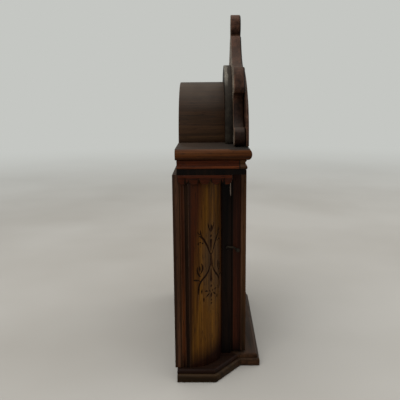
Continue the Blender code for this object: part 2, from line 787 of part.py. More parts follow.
def make_motion_work():
    centre = (0, ARCH_Z)
    stud_z = ARCH_Z + (CANNON_TEETH + MINUTE_TEETH) * MINUTE_MODULE / 2
    axle = (0, 0, ARCH_Z)
    layer_a = (PLATE_FRONT - 0.0007 - WHEEL_T, PLATE_FRONT - 0.0007)
    layer_b = (layer_a[0] - 0.0008 - WHEEL_T, layer_a[0] - 0.0008)
    hour_face = FRONT_BACK - 0.0030
    minute_face = hour_face - 0.0032
    arbor_end = minute_face - HAND_T - 0.0018
    arbor = shaft("centre_arbor", centre, (arbor_end, PLATE_BACK + PLATE_T + 0.0010), ARBOR_R,
                  "steel", origin=axle)
    up = math.pi / 2
    cannon = gear_outline(centre, CANNON_TEETH, MINUTE_MODULE, up)
    join(arbor, flat("cannon_teeth", [cannon], layer_a, "front", None))

    stud = (0, stud_z)
    hole = circle(stud, STUD_R + RUNNING)
    wheel_teeth = gear_outline(stud, MINUTE_TEETH, MINUTE_MODULE, -up + math.pi / MINUTE_TEETH)
    wheel = flat("minute_wheel", [wheel_teeth, hole], layer_a, "front", "brass",
                 origin=(0, 0, stud_z))
    pinion_teeth = gear_outline(stud, PINION_TEETH, HOUR_MODULE, -up)
    join(wheel, flat("minute_pinion_teeth", [pinion_teeth, hole],
                     (layer_b[0], layer_a[0] + 0.0002), "front", None))
    pipe_in = ARBOR_R + RUNNING + 0.0001
    pipe_out = pipe_in + PIPE_WALL
    hour_teeth = gear_outline(centre, HOUR_TEETH, HOUR_MODULE, up + math.pi / HOUR_TEETH)
    hour = flat("hour_wheel", [hour_teeth, circle(centre, pipe_in)], layer_b, "front", "brass",
                origin=axle)
    join(hour, flat("hour_pipe", [circle(centre, pipe_out), circle(centre, pipe_in)],
                    (hour_face - HAND_T - 0.0004, layer_b[0] + 0.0002), "front", None))
    make_hand("hour_hand", HOUR_LENGTH, HOUR_AT, pipe_out + 0.0002,
              (hour_face - HAND_T, hour_face))
    make_hand("minute_hand", MINUTE_LENGTH, MINUTE_AT, ARBOR_R + 0.0002,
              (minute_face - HAND_T, minute_face))
    collet = [(0.0022, 0.0014), (0.0030, 0.0008), (0.0030, 0), (ARBOR_R + 0.0002, 0),
              (ARBOR_R + 0.0002, 0.0014)]
    turned("hand_collet", collet, (0, minute_face - HAND_T - GAP, ARCH_Z), "front", "brass",
           steps=SHAFT_SEGMENTS, closed=True)


def plate_holes():
    """The bores that both movement plates share."""
    holes = [circle((0, ARCH_Z), ARBOR_R + RUNNING),
             circle((0, ARCH_Z - ESCAPE_DROP), STUD_R + RUNNING, 12),
             circle((HAMMER_X, ARCH_Z - HAMMER_DROP), ARBOR_R + RUNNING)]
    return holes + [circle((side * WIND_X, ARCH_Z - WIND_DROP), WIND_R + RUNNING)
                    for _, side in sides()]


def corner_posts():
    x = PLATE_HALF - PILLAR_INSET
    return [(side * x, ARCH_Z + z) for _, side in sides()
            for z in (PLATE_LOW + PILLAR_INSET, PLATE_HIGH - PILLAR_INSET)]


def make_movement():
    outline = rectangle((-PLATE_HALF, ARCH_Z + PLATE_LOW), (PLATE_HALF, ARCH_Z + PLATE_HIGH))
    front = flat("movement_front_plate", [outline] + plate_holes(),
                 (PLATE_FRONT, PLATE_FRONT + PLATE_T), "front", "brass")
    stud_z = ARCH_Z + (CANNON_TEETH + MINUTE_TEETH) * MINUTE_MODULE / 2
    stud = shaft("minute_stud", (0, stud_z), (PLATE_FRONT - 0.0048, PLATE_FRONT + PLATE_T / 2),
                 STUD_R, None)
    pin = shaft("verge_pin", (0, PIVOT_Z), (PLATE_FRONT - 0.0042, PLATE_FRONT + PLATE_T / 2),
                VERGE_PIN_R, None)
    cock_z = PIVOT_Z + VERGE_HUB_R + 0.0003
    cock = block("suspension_cock", (-COCK_HALF, PENDULUM_Y - 0.0025, cock_z),
                 (COCK_HALF, PLATE_FRONT + PLATE_T / 2, cock_z + COCK_H), None)
    join(front, stud, pin, cock)
    back = flat("movement_back_plate", [outline] + plate_holes(), (PLATE_BACK, PLATE_BACK + PLATE_T),
                "front", "brass")
    for number, at in enumerate(corner_posts(), 1):
        rest = BACK_FACE if at[1] < CASE_TOP else HOOD_BACK_FACE
        foot = shaft(f"movement_foot_{number}", at, (PLATE_BACK + PLATE_T / 2, rest - GAP), FOOT_R,
                     None)
        join(back, foot)
        shaft(f"pillar_{number}", at, (PLATE_FRONT + PLATE_T + GAP, PLATE_BACK - GAP), PILLAR_R,
              "brass", segments=12)


def ratchet_outline(centre):
    """Saw teeth for the winding click."""
    points = []
    for tooth in range(RATCHET_TEETH):
        angle = tooth * 2 * math.pi / RATCHET_TEETH
        for radius, share in ((RATCHET_R * 0.86, 0.0), (RATCHET_R, 0.85)):
            turn = angle + share * 2 * math.pi / RATCHET_TEETH
            points.append((centre[0] + radius * math.cos(turn),
                           centre[1] + radius * math.sin(turn)))
    return points


def make_winding():
    for word, side in (("strike", -1), ("time", 1)):
        at = (side * WIND_X, ARCH_Z - WIND_DROP)
        tip = FRONT_BACK - WIND_REACH
        origin = (at[0], 0, at[1])
        made = shaft(word + "_arbor", at, (PLATE_FRONT - 0.0030, PLATE_BACK + PLATE_T + 0.0010),
                     WIND_R, "steel", origin=origin)
        half = WIND_R * 0.68
        square = block(word + "_square", (at[0] - half, tip, at[1] - half),
                       (at[0] + half, PLATE_FRONT - 0.0028, at[1] + half), None)
        spring_front = PLATE_BACK - 0.0015 - SPRING_W
        hub = shaft(word + "_hub", at, (spring_front, spring_front + SPRING_W), SPRING_HUB_R, None)
        ratchet_y = PLATE_FRONT + PLATE_T + 0.0010
        ratchet = flat(word + "_ratchet", [ratchet_outline(at)], (ratchet_y, ratchet_y + 0.0016),
                       "front", None)
        join(made, square, hub, ratchet)
        flat(word + "_mainspring", [circle(at, SPRING_R, 32), circle(at, SPRING_HUB_R + GAP)],
             (spring_front, spring_front + SPRING_W), "front", "steel")


def make_escapement():
    centre = (0, ARCH_Z - ESCAPE_DROP)
    wheel = []
    for tooth in range(ESCAPE_TEETH):
        angle = tooth * 2 * math.pi / ESCAPE_TEETH
        for radius, share in ((ESCAPE_R * 0.80, 0.0), (ESCAPE_R, 0.62), (ESCAPE_R * 0.80, 0.80)):
            turn = angle + share * 2 * math.pi / ESCAPE_TEETH
            wheel.append((centre[0] + radius * math.cos(turn),
                          centre[1] + radius * math.sin(turn)))
    front = PLATE_FRONT - 0.0005
    arbor = shaft("escape_wheel", centre, (front - 0.0014, PLATE_BACK + PLATE_T + 0.0010), STUD_R,
                  "brass", segments=12)
    join(arbor, flat("escape_teeth", [wheel], (front - 0.0010, front), "front", None))

    span = (front - 0.0014, front + 0.0001)
    inner = ESCAPE_R + VERGE_CLEAR
    band = (arc(centre, inner + VERGE_BAND, 38, 142, 14) + arc(centre, inner, 142, 38, 14))
    axle = (0, 0, PIVOT_Z)
    verge = flat("verge", [band], span, "front", "steel", origin=axle)
    hub = flat("verge_hub", [circle((0, PIVOT_Z), VERGE_HUB_R)], span, "front", None)
    bore = shaft("verge_bore", (0, PIVOT_Z), (span[0] - 0.002, span[1] + 0.002),
                 VERGE_PIN_R + RUNNING, None)
    crutch_y = span[0] - 0.0001
    crutch_z = ARCH_Z - ESCAPE_DROP - ESCAPE_R * 0.60
    reach = PENDULUM_Y - 0.0015
    side = ROD_R + 0.0013
    crutch = rod("crutch_wire", [(-side, crutch_y + 0.0004, PIVOT_Z - 0.0009),
                                 (-side, crutch_y - 0.0010, PIVOT_Z - 0.0035),
                                 (-side, crutch_y - 0.0010, crutch_z),
                                 (-side, reach, crutch_z)], 0.0006, None)
    fork = rod("crutch_fork", [(-side, crutch_y - 0.0010, crutch_z),
                               (side, crutch_y - 0.0010, crutch_z),
                               (side, reach, crutch_z)], 0.0006, None)
    join(verge, hub)
    cut(verge, bore)
    join(verge, crutch, fork)


def make_pendulum():
    axle = (0, 0, PIVOT_Z)
    bob_z = PIVOT_Z - PENDULUM_L
    boss = 0.0030
    top = PIVOT_Z + VERGE_HUB_R
    made = rod("pendulum_rod", [(0, PENDULUM_Y, PIVOT_Z - 0.0050),
                                (0, PENDULUM_Y, bob_z + BOB_R + boss + GAP)], ROD_R, "steel",
               origin=axle)
    strip = block("suspension_strip", (-STRIP_W / 2, PENDULUM_Y - STRIP_T / 2, PIVOT_Z - 0.0080),
                  (STRIP_W / 2, PENDULUM_Y + STRIP_T / 2, top), None)
    join(made, strip)
    profile = []
    for i in range(13):
        angle = math.pi / 2 - math.pi * i / 12
        profile.append((BOB_R * math.cos(angle) ** 0.5 if abs(math.cos(angle)) > 1e-6 else 0.0,
                        BOB_T / 2 * math.sin(angle)))
    bob = turned("pendulum_bob", profile, (0, PENDULUM_Y, bob_z), "front", "brass", steps=36)
    eye = block("bob_eye", (-0.0020, PENDULUM_Y - 0.0012, bob_z + BOB_R - 0.0030),
                (0.0020, PENDULUM_Y + 0.0012, bob_z + BOB_R + boss), None)
    join(bob, eye)


def gong_points():
    """The coil's centre line: a straight start, then a spiral that opens at a steady rate."""
    start = (GONG_INNER_R, GONG_Y, GONG_Z - 2 * GONG_WIRE_R)
    points = [start]
    for i in range(int(GONG_TURNS * TURN_POINTS) + 1):
        angle = 2 * math.pi * i / TURN_POINTS
        radius = GONG_INNER_R + GONG_PITCH * i / TURN_POINTS
        points.append((radius * math.cos(angle), GONG_Y, GONG_Z + radius * math.sin(angle)))
    return points


def least_gap(points):
    """Least distance between turns, measured on the points and less the wire."""
    least = 1.0
    for i, one in enumerate(points):
        for other in points[i + TURN_POINTS // 2:]:
            least = min(least, (Vector(one) - Vector(other)).length)
    return least - 2 * GONG_WIRE_R


def make_strike():
    points = gong_points()
    print("gong coil least gap", round(least_gap(points) * 1000, 3), "mm")
    rod("gong_coil", points, GONG_WIRE_R, "blued_steel", resolution=1)
    post_top = GONG_Z - 2 * GONG_WIRE_R - GAP
    post = block("gong_post", (-0.0060, GONG_Y - 0.0030, post_top - 0.0045),
                 (GONG_INNER_R + GONG_WIRE_R, BACK_FACE - GAP, post_top), "cast_iron")
    soften(post, 0.0008)

    pivot = (HAMMER_X, ARCH_Z - HAMMER_DROP)
    outer = GONG_INNER_R + GONG_PITCH * GONG_TURNS + GONG_WIRE_R
    head_z = GONG_Z + outer * math.sin(HAMMER_AT)
    head_x = outer * math.cos(HAMMER_AT - math.radians(5)) + HAMMER_GAP
    hammer = shaft("strike_hammer", pivot, (PLATE_FRONT - 0.0006, PLATE_BACK + PLATE_T + 0.0010),
                   ARBOR_R, "steel", origin=(pivot[0], 0, pivot[1]))
    arm_y = GONG_Y
    arm = rod("hammer_arm", [(pivot[0], arm_y, pivot[1]),
                             (head_x + HAMMER_HEAD_L / 2, arm_y, head_z)], HAMMER_ARM_R, None)
    head = shaft("hammer_head", (arm_y, head_z), (head_x, head_x + HAMMER_HEAD_L), HAMMER_HEAD_R,
                 None, facing="side")
    join(hammer, arm, head)


def make_door():
    axle = (PIN_X, PIN_Y, 0)
    outline = arched_loop(DOOR_HALF, DOOR_BOTTOM, DOOR_TOP, DOOR_ARCH_R)
    low, high = DOOR_BOTTOM + RAIL_FACE, DOOR_TOP - RAIL_FACE

    def opening(spread):
        return arched_loop(GLASS_HALF + spread, low - spread, high + spread, GLASS_ARCH_R + spread)

    frame = flat("door_frame", [outline, opening(0)], (DOOR_FACE, DOOR_BACK), "front",
                 "dark_walnut", origin=axle)
    rebate = flat("glass_rebate", [opening(REBATE)], (DOOR_BACK - REBATE_D, DOOR_BACK + 0.001),
                  "front", None)
    bead = lofted("door_bead", [(DOOR_FACE - 0.001, opening(DOOR_BEAD * 1.2)),
                                (DOOR_FACE + DOOR_BEAD_D, opening(0.0001))], "front", None)
    bores = [shaft(f"door_bore_{word}", (PIN_X, PIN_Y), ends, PIN_R + RUNNING, None, facing="up")
             for word, ends in (("low", (DOOR_BOTTOM - 0.001, DOOR_BOTTOM + PIN_DEPTH)),
                                ("high", (DOOR_TOP - PIN_DEPTH, DOOR_TOP + 0.001)))]
    cut(frame, rebate, bead, *bores)
    pane = opening(REBATE - GLASS_MARGIN)
    seat = DOOR_BACK - REBATE_D + GAP
    flat("door_glass", [pane], (seat, seat + GLASS_T), "front", "glass", origin=axle)
    shaft("hinge_pin_lower", (PIN_X, PIN_Y), (BASE_BOARD_T + 2 * GAP, DOOR_BOTTOM + PIN_DEPTH - GAP),
          PIN_R, "brass", facing="up")
    shaft("hinge_pin_upper", (PIN_X, PIN_Y), (DOOR_TOP - PIN_DEPTH + GAP, FRIEZE_Z + PIN_DEPTH - GAP),
          PIN_R, "brass", facing="up")


def hook_outline(reach):
    """The latch hook from its eye to its mouth, which opens downward over the catch."""
    hole = CATCH_R + 0.0004
    eye = arc((0, 0), 0.0030, 60, 330, 14)
    arm = [(0.0026, -0.0012), (reach * 0.45, 0.0016), (reach - hole, 0.0010)]
    mouth = arc((reach, 0), hole, 180, 0, 8)
    lip = [(reach + hole, -0.0012), (reach + hole + LATCH_WIRE * 0.6, -0.0016),
           (reach + hole + LATCH_WIRE, 0.0004)]
    back = arc((reach, 0), hole + LATCH_WIRE, 20, 110, 5) + [(reach * 0.50, 0.0046)]
    return eye + arm + mouth + lip + back


def make_latch():
    """A hook on the door's left edge that drops over a pin in the case front's edge."""
    pivot = (DOOR_BACK - LATCH_SCREW_FROM_BACK, LATCH_Z)
    catch = (FRONT_FACE + CATCH_FROM_FRONT, LATCH_Z)
    turn = Matrix.Rotation(LATCH_LIFT, 2)
    lifted = [tuple(Vector(pivot) + turn @ Vector(point))
              for point in hook_outline(catch[0] - pivot[0])]
    near = -(FRONT_HALF + LATCH_STAND)
    flat("latch_hook", [lifted, circle(pivot, SCREW_R + RUNNING)], (near - LATCH_T, near),
         "side", "brass", origin=(near, *pivot))
    door_side = -(DOOR_HALF + GAP)
    collar = door_side - near - GAP
    head = door_side - near + LATCH_T + GAP
    screw = [(0, head + SCREW_HEAD_H), (SCREW_HEAD_R * 0.7, head + SCREW_HEAD_H * 0.8),
             (SCREW_HEAD_R, head + SCREW_HEAD_H * 0.2), (SCREW_HEAD_R, head), (SCREW_R, head),
             (SCREW_R, collar), (COLLAR_R, collar), (COLLAR_R, 0), (0, 0)]
    turned("latch_screw", screw, (door_side, *pivot), "left", "brass", steps=14)
    case_side = -(FRONT_HALF + GAP)
    end_z = case_side - near + LATCH_T + CATCH_R
    pin = [(0, end_z), (CATCH_R * 0.7, end_z), (CATCH_R, end_z - CATCH_R * 0.3), (CATCH_R, 0), (0, 0)]
    turned("catch_pin", pin, (case_side, *catch), "left", "brass", steps=14)


def main():
    make_base()
    make_backs()
    make_sides()
    make_case_front()
    make_aprons()
    make_cornice()
    make_hood()
    make_crest()
    make_overlays()
    make_dial()
    make_motion_work()
    make_movement()
    make_winding()
    make_escapement()
    make_pendulum()
    make_strike()
    make_door()
    make_latch()


main()
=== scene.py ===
"""Looks of the gingerbread mantel clock: rubbed walnut, carved sides, painted dial and brass works."""

import json
import math

import bpy
from mathutils import Matrix, Vector

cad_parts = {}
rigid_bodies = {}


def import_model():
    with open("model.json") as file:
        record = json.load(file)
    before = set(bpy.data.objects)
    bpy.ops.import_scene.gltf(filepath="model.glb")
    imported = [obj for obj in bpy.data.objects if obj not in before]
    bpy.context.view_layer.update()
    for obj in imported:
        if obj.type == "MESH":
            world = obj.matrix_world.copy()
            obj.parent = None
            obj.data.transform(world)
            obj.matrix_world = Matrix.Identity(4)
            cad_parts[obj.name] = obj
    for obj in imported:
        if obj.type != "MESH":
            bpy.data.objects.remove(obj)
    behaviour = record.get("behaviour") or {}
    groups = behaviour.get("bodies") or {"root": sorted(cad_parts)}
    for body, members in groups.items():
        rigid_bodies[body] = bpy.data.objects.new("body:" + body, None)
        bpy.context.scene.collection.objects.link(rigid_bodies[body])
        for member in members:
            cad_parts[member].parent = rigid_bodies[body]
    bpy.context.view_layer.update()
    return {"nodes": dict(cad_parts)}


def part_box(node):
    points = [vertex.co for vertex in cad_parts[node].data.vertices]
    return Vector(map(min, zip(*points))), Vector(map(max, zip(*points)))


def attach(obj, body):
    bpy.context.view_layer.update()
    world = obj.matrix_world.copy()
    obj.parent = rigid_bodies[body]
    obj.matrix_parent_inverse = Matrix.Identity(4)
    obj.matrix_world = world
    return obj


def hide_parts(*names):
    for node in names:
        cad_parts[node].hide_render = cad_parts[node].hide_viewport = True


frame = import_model()
bpy.ops.object.select_all(action="DESELECT")

MM = 0.001
DIAL_LOW, DIAL_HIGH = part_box("dial")
ARCH_Z = (DIAL_LOW.z + DIAL_HIGH.z) / 2
BOARD_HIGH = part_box("arch_board")[1]
BOARD_R = BOARD_HIGH.z - ARCH_Z
PANEL_LOW, PANEL_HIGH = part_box("side_panel_left")
PANEL_R = 46.6 * MM
PANEL_CENTRE = (PANEL_LOW.x + PANEL_R, PANEL_HIGH.y)
# Where the carved stem stands on the rounded side: degrees round it, and depth.
STEM_AT = 42.7
STEM_Y = PANEL_HIGH.y - PANEL_R * math.sin(math.radians(STEM_AT))
# Heights over which painted shade under the cornice darkens a coat and painted shade and grime at the foot
# fade out of it, and depths of the painted shadow of the crest's foot.
CORNICE_SHADE_RANGE = (90 * MM, 300 * MM)
FOOT_SHADE_AND_GRIME_RANGE = (23 * MM, 45 * MM)
CREST_SHADOW_RANGE = (-17 * MM, -12 * MM)
# Settings of a Mix node that blends two colours, and of one that multiplies them.
BLEND = {"data_type": "RGBA"}
TINT = {"data_type": "RGBA", "blend_type": "MULTIPLY"}


# Material helpers

def linear(code):
    """A linear colour from its sRGB hex code."""
    parts = [int(code[i:i + 2], 16) / 255 for i in (1, 3, 5)]
    return [c / 12.92 if c <= 0.04045 else ((c + 0.055) / 1.055) ** 2.4 for c in parts] + [1]


def add(tree, kind, inputs=(), stops=(), **settings):
    """Adds a node with its settings, its inputs (by name, or a list in order) and its ramp stops. A
    node given as an input stands for its first output in use, and a number as a stop for a grey."""
    made = tree.nodes.new("ShaderNode" + kind)
    for key, value in settings.items():
        setattr(made, key, value)
    for key, value in inputs.items() if isinstance(inputs, dict) else enumerate(inputs):
        if isinstance(value, bpy.types.Node):
            value = next(socket for socket in value.outputs if socket.enabled)
        if isinstance(value, bpy.types.NodeSocket):
            tree.links.new(value, made.inputs[key])
        else:
            made.inputs[key].default_value = value
    if stops:
        ramp = made.color_ramp.elements
        while len(ramp) < len(stops):
            ramp.new(1)
        for spot, (at, colour) in zip(ramp, stops):
            spot.position = at
            spot.color = linear(colour) if isinstance(colour, str) else (colour, colour, colour, 1)
    return made


def new_finish(name):
    """An empty material and its node tree."""
    material = bpy.data.materials.new(name)
    material.use_nodes = True
    material.node_tree.nodes.clear()
    return material, material.node_tree


def close_finish(tree, shader):
    """Leads the shader to the material's surface."""
    add(tree, "OutputMaterial", {"Surface": shader})


GRAIN_AXIS = {"across": 0, "deep": 1, "up": 2}


def stretched(grain, width, length):
    """Mapping scale of a pattern of that width, drawn out to that length along the grain."""
    scale = [1 / width] * 3
    scale[GRAIN_AXIS[grain]] = 1 / length
    return scale


def wood(name, grain, dark, body, light, figure=9 * MM, dust=0.35, gloss=0.5, smoke=1.0, foot=1.0,
         bands=None):
    """Old shellacked wood: drawn-out figure, growth lines, open pores, dust and a painted sheen on what
    faces up, and a coat darkened by painted shade towards the cornice and by painted shade and grime at the
    foot."""
    material, tree = new_finish(name)
    place = add(tree, "TexCoord").outputs["Object"]
    height = add(tree, "SeparateXYZ", [place]).outputs["Z"]
    facing = add(tree, "SeparateXYZ", [add(tree, "NewGeometry").outputs["Normal"]])
    broad = add(tree, "Mapping", {"Vector": place, "Scale": stretched(grain, figure, 150 * MM)})
    pattern = add(tree, "TexNoise", {"Vector": broad, "Scale": 1.0, "Detail": 5.0, "Roughness": 0.55,
                                     "Distortion": 0.5})
    colour = add(tree, "ValToRGB", [pattern], [(0.30, dark), (0.52, body), (0.72, light)])
    if bands:
        colour = bands(tree, place, pattern, colour)
    lines = add(tree, "Mapping", {"Vector": place, "Scale": stretched(grain, 2.2 * MM, 240 * MM)})
    line_noise = add(tree, "TexNoise", {"Vector": lines, "Scale": 1.0, "Detail": 3.0, "Distortion": 0.3})
    line_share = add(tree, "MapRange", [line_noise, 0.42, 0.60, 0.74, 1.08])
    lined = add(tree, "Mix", {"Factor": 1.0, "A": colour, "B": line_share}, **TINT)
    # Walnut pores are 0.2 mm wide: drawn 1 mm wide so that they show.
    pores = add(tree, "Mapping", {"Vector": place, "Scale": stretched(grain, 1.0 * MM, 14 * MM)})
    pore_noise = add(tree, "TexNoise", {"Vector": pores, "Scale": 1.0, "Detail": 2.0})
    pore_share = add(tree, "MapRange", [pore_noise, 0.60, 0.72])
    pored = add(tree, "Mix", {"Factor": pore_share, "A": lined, "B": linear("#120a06")}, **BLEND)
    patches = add(tree, "TexNoise", {"Vector": place, "Scale": 1 / (42 * MM), "Detail": 3.0})
    # Dust and a painted sheen on what faces up.
    upward = add(tree, "MapRange", [facing.outputs["Z"], 0.50, 1.0, 0.0, dust])
    dust_share = add(tree, "Math", [upward, patches], operation="MULTIPLY")
    dusted = add(tree, "Mix", {"Factor": dust_share, "A": pored, "B": linear("#94877b")}, **BLEND)
    # Painted shade under the cornice darkens the coat towards the top, and painted shade and grime darken it
    # at the foot.
    smoked = add(tree, "MapRange", [height, *CORNICE_SHADE_RANGE, 1.0, smoke])
    foot_shade_and_grime = add(tree, "MapRange", [height, *FOOT_SHADE_AND_GRIME_RANGE, foot, 1.0])
    darkened = add(tree, "Math", [smoked, foot_shade_and_grime], operation="MULTIPLY")
    coat = add(tree, "Mix", {"Factor": 1.0, "A": dusted, "B": darkened}, **TINT)
    rough = add(tree, "MapRange", [patches, 0.3, 0.7, gloss - 0.08, gloss + 0.12])
    relief = add(tree, "Math", [line_noise, pore_share], operation="SUBTRACT")
    bump = add(tree, "Bump", {"Height": relief, "Strength": 0.35, "Distance": 0.2 * MM})
    close_finish(tree, add(tree, "BsdfPrincipled", {"Base Color": coat, "Roughness": rough, "IOR": 1.5,
                                                    "Specular IOR Level": 0.07, "Normal": bump}))
    return material


def veneer_bands(tree, place, figure, colour):
    """A painted highlight leaves the middle of the rounded side golden, painted shade darkens its borders
    where the round turns away, and painted shade and grime darken its foot.
    """
    _, y, z = add(tree, "SeparateXYZ", [place]).outputs
    # The ground of the carved spray is greyer than the wood round it.
    half_wide, half_high, middle = 14 * MM, 64 * MM, 172 * MM
    oval = add(tree, "Mapping", {"Vector": place, "Scale": (0, 1 / half_wide, 1 / half_high),
                                 "Location": (0, -STEM_Y / half_wide, -middle / half_high)})
    reach = add(tree, "VectorMath", [oval], operation="LENGTH").outputs["Value"]
    ground = add(tree, "MapRange", [reach, 0.7, 1.2, 0.6, 0.0])
    greyed = add(tree, "Mix", {"Factor": ground, "A": colour, "B": linear("#453220")}, **BLEND)
    # Painted shade along the front and rear borders, where the round turns away from the light.
    wander = add(tree, "Math", [figure, 9 * MM, y], operation="MULTIPLY_ADD")
    front = add(tree, "MapRange", [wander, -0.8 * MM, 4.8 * MM, 1.0, 0.0])
    # The rear border grows wider towards the top.
    leant = add(tree, "Math", [z, 0.10, wander], operation="MULTIPLY_ADD")
    rear = add(tree, "MapRange", [leant, 49 * MM, 60 * MM])
    share = add(tree, "Math", [front, rear], operation="MAXIMUM")
    borders_shaded = add(tree, "Mix", {"Factor": share, "A": greyed, "B": linear("#351503")}, **BLEND)
    # Painted shade and grime at the foot climb towards the front.
    climbing = add(tree, "Math", [y, 0.4, z], operation="MULTIPLY_ADD")
    foot = add(tree, "MapRange", [climbing, 37 * MM, 63 * MM, 0.95, 0.0])
    foot_grimed_and_shaded = add(tree, "Mix", {"Factor": foot, "A": borders_shaded, "B": linear("#190602")}, **BLEND)
    # Painted shade darkens the rear end into the seam beside the stile.
    seam = add(tree, "MapRange", [y, 36.5 * MM, 40 * MM, 0.0, 0.8])
    return add(tree, "Mix", {"Factor": seam, "A": foot_grimed_and_shaded, "B": linear("#1a0a03")}, **BLEND)


def cornice_bands(tree, place, figure, colour):
    """Painted shadow of the crest and its ring on the top of the cornice: darker from the back towards the
    front, and darkest in front of the crest's foot.
    """
    y = add(tree, "SeparateXYZ", [place]).outputs["Y"]
    lightness = add(tree, "MapRange", [y, -36 * MM, 45 * MM, 0.0, 1.2])
    crest_shadow = add(tree, "MapRange", [y, *CREST_SHADOW_RANGE, 0.3, 1.0])
    share = add(tree, "Math", [lightness, crest_shadow], operation="MULTIPLY")
    return add(tree, "Mix", {"Factor": 1.0, "A": colour, "B": share}, **TINT)


def nose_bands(tree, place, figure, colour):
    """Painted shadow of the crest's foot on the top arris of the cornice's nose."""
    _, y, z = add(tree, "SeparateXYZ", [place]).outputs
    front = add(tree, "MapRange", [y, *CREST_SHADOW_RANGE, 0.85, 0.0])
    top = add(tree, "MapRange", [z, ARCH_Z - 2.6 * MM, ARCH_Z - 1.6 * MM])
    share = add(tree, "Math", [front, top], operation="MULTIPLY")
    return add(tree, "Mix", {"Factor": share, "A": colour, "B": linear("#0c0603")}, **BLEND)


def crest_bands(tree, place, figure, colour):
    """Painted light and shade on the crest's edge: lighter on its shoulder, its neck and its finial, which
    face up, and painted shade under the finial and in the hollows low down beside the hood."""
    z = add(tree, "SeparateXYZ", [place]).outputs["Z"]
    wander = add(tree, "Math", [figure, 14 * MM, z], operation="MULTIPLY_ADD")
    lightness = add(tree, "MapRange", [wander, 392 * MM, 412 * MM, 0.4, 1.0])
    height = add(tree, "MapRange", [z, 435 * MM, 535 * MM])
    tone = add(tree, "ValToRGB", [height], [
        (0.17, 0.54), (0.20, 0.84), (0.23, 0.66), (0.33, 0.57), (0.46, 0.57), (0.54, 0.77), (0.59, 0.97),
        (0.65, 0.80), (0.70, 0.28), (0.74, 0.40), (0.79, 0.83), (0.84, 0.64), (0.92, 1.0)])
    toned = add(tree, "Mix", {"Factor": 1.0, "A": colour, "B": tone}, **TINT)
    return add(tree, "Mix", {"Factor": 1.0, "A": toned, "B": lightness}, **TINT)


def hood_bands(tree, place, figure, colour):
    """Painted shading across the hood's round: lighter low down and darker towards the crown, with a painted
    contact shadow where it meets the cornice.
    """
    z = add(tree, "SeparateXYZ", [place]).outputs["Z"]
    height = add(tree, "MapRange", [z, 335 * MM, 425 * MM])
    tone = add(tree, "ValToRGB", [height], [(0.06, 0.62), (0.22, 1.0), (0.50, 0.72), (0.76, 0.52)])
    return add(tree, "Mix", {"Factor": 1.0, "A": colour, "B": tone}, **TINT)


def board_bands(tree, place, figure, colour):
    """The arched board gets a painted light strip along the rear of its crown, where its back face catches
    the light, and darkens towards the front beside the crest.
    """
    _, y, z = add(tree, "SeparateXYZ", [place]).outputs
    wander = add(tree, "Math", [figure, 4 * MM, y], operation="MULTIPLY_ADD")
    rear = add(tree, "MapRange", [wander, BOARD_HIGH.y - 3.5 * MM, BOARD_HIGH.y - 1.5 * MM])
    crown = add(tree, "MapRange", [z, 422 * MM, 436 * MM])
    centred = add(tree, "Mapping", {"Vector": place, "Location": (0, 0, -ARCH_Z)})
    flat = add(tree, "VectorMath", [centred, (1, 0, 1)], operation="MULTIPLY")
    reach = add(tree, "VectorMath", [flat], operation="LENGTH").outputs["Value"]
    rim = add(tree, "MapRange", [reach, BOARD_R - 5 * MM, BOARD_R - 2 * MM])
    backlit = add(tree, "Math", [rear, crown], operation="MULTIPLY")
    backlit = add(tree, "Math", [backlit, rim], operation="MULTIPLY")
    lightness = add(tree, "MapRange", [wander, BOARD_HIGH.y - 8 * MM, BOARD_HIGH.y - 2 * MM, 0.55, 1.0])
    front_darkened = add(tree, "Mix", {"Factor": 1.0, "A": colour, "B": lightness}, **TINT)
    return add(tree, "Mix", {"Factor": backlit, "A": front_darkened, "B": linear("#6a665c")}, **BLEND)


def metal(name, colour, deep, rough, tarnish=0.35):
    """Old metal: fine scratches, and a darker skin in patches."""
    material, tree = new_finish(name)
    place = add(tree, "TexCoord").outputs["Object"]
    patch = add(tree, "TexNoise", {"Vector": place, "Scale": 1 / (7 * MM), "Detail": 4.0})
    share = add(tree, "MapRange", [patch, 0.45, 0.75, 0.0, tarnish * 2])
    skin = add(tree, "Mix", {"Factor": share, "A": linear(colour), "B": linear(deep)}, **BLEND)
    # Polishing scratches are finer than 0.1 mm: drawn 0.5 mm apart so that they show.
    strokes = add(tree, "Mapping", {"Vector": place, "Scale": [1 / (0.5 * MM)] * 3})
    scratch = add(tree, "TexNoise", {"Vector": strokes, "Scale": 1.0, "Detail": 2.0})
    roughness = add(tree, "MapRange", [patch, 0.0, 1.0, rough - 0.06, rough + 0.16])
    bump = add(tree, "Bump", {"Height": scratch, "Strength": 0.25, "Distance": 0.05 * MM})
    close_finish(tree, add(tree, "BsdfPrincipled", {"Base Color": skin, "Metallic": 1.0,
                                                    "Roughness": roughness, "Normal": bump}))
    return material


def by_grain(name, grains, dark, body, light, **settings):
    """One finish in each of the grain directions named."""
    return {grain: wood(name + "_" + grain, grain, dark, body, light, **settings)
            for grain in grains.split()}


# Shellacked walnut of the corner stiles: orange-brown with blackish growth lines.
WALNUT = wood("shellacked_walnut_up", "up", "#2a0f03", "#4a240b", "#5e3411", smoke=0.62, foot=0.15)
# Reddish-dark walnut of the door's own frame: nearly black towards the top, with painted shade under the
# cornice.
DOOR_WALNUT = wood("dark_door_walnut_up", "up", "#1d0902", "#341508", "#431f0d", smoke=0.38, foot=0.2,
                   dust=0.2)
# Olive-brown walnut of the door's front moulding: thinner stain than the frame behind it.
DOOR_FACING = by_grain("olive_door_walnut", "across deep up", "#241507", "#402814", "#4f331b",
                       smoke=0.82, foot=0.4, dust=0.2)
# Red-stained walnut of the cornice's nose: warm brown with a satin gloss.
RED_WALNUT = by_grain("red_stained_walnut", "across deep", "#241003", "#3e1f08", "#522e10", gloss=0.42,
                      dust=0.05, bands=nose_bands)
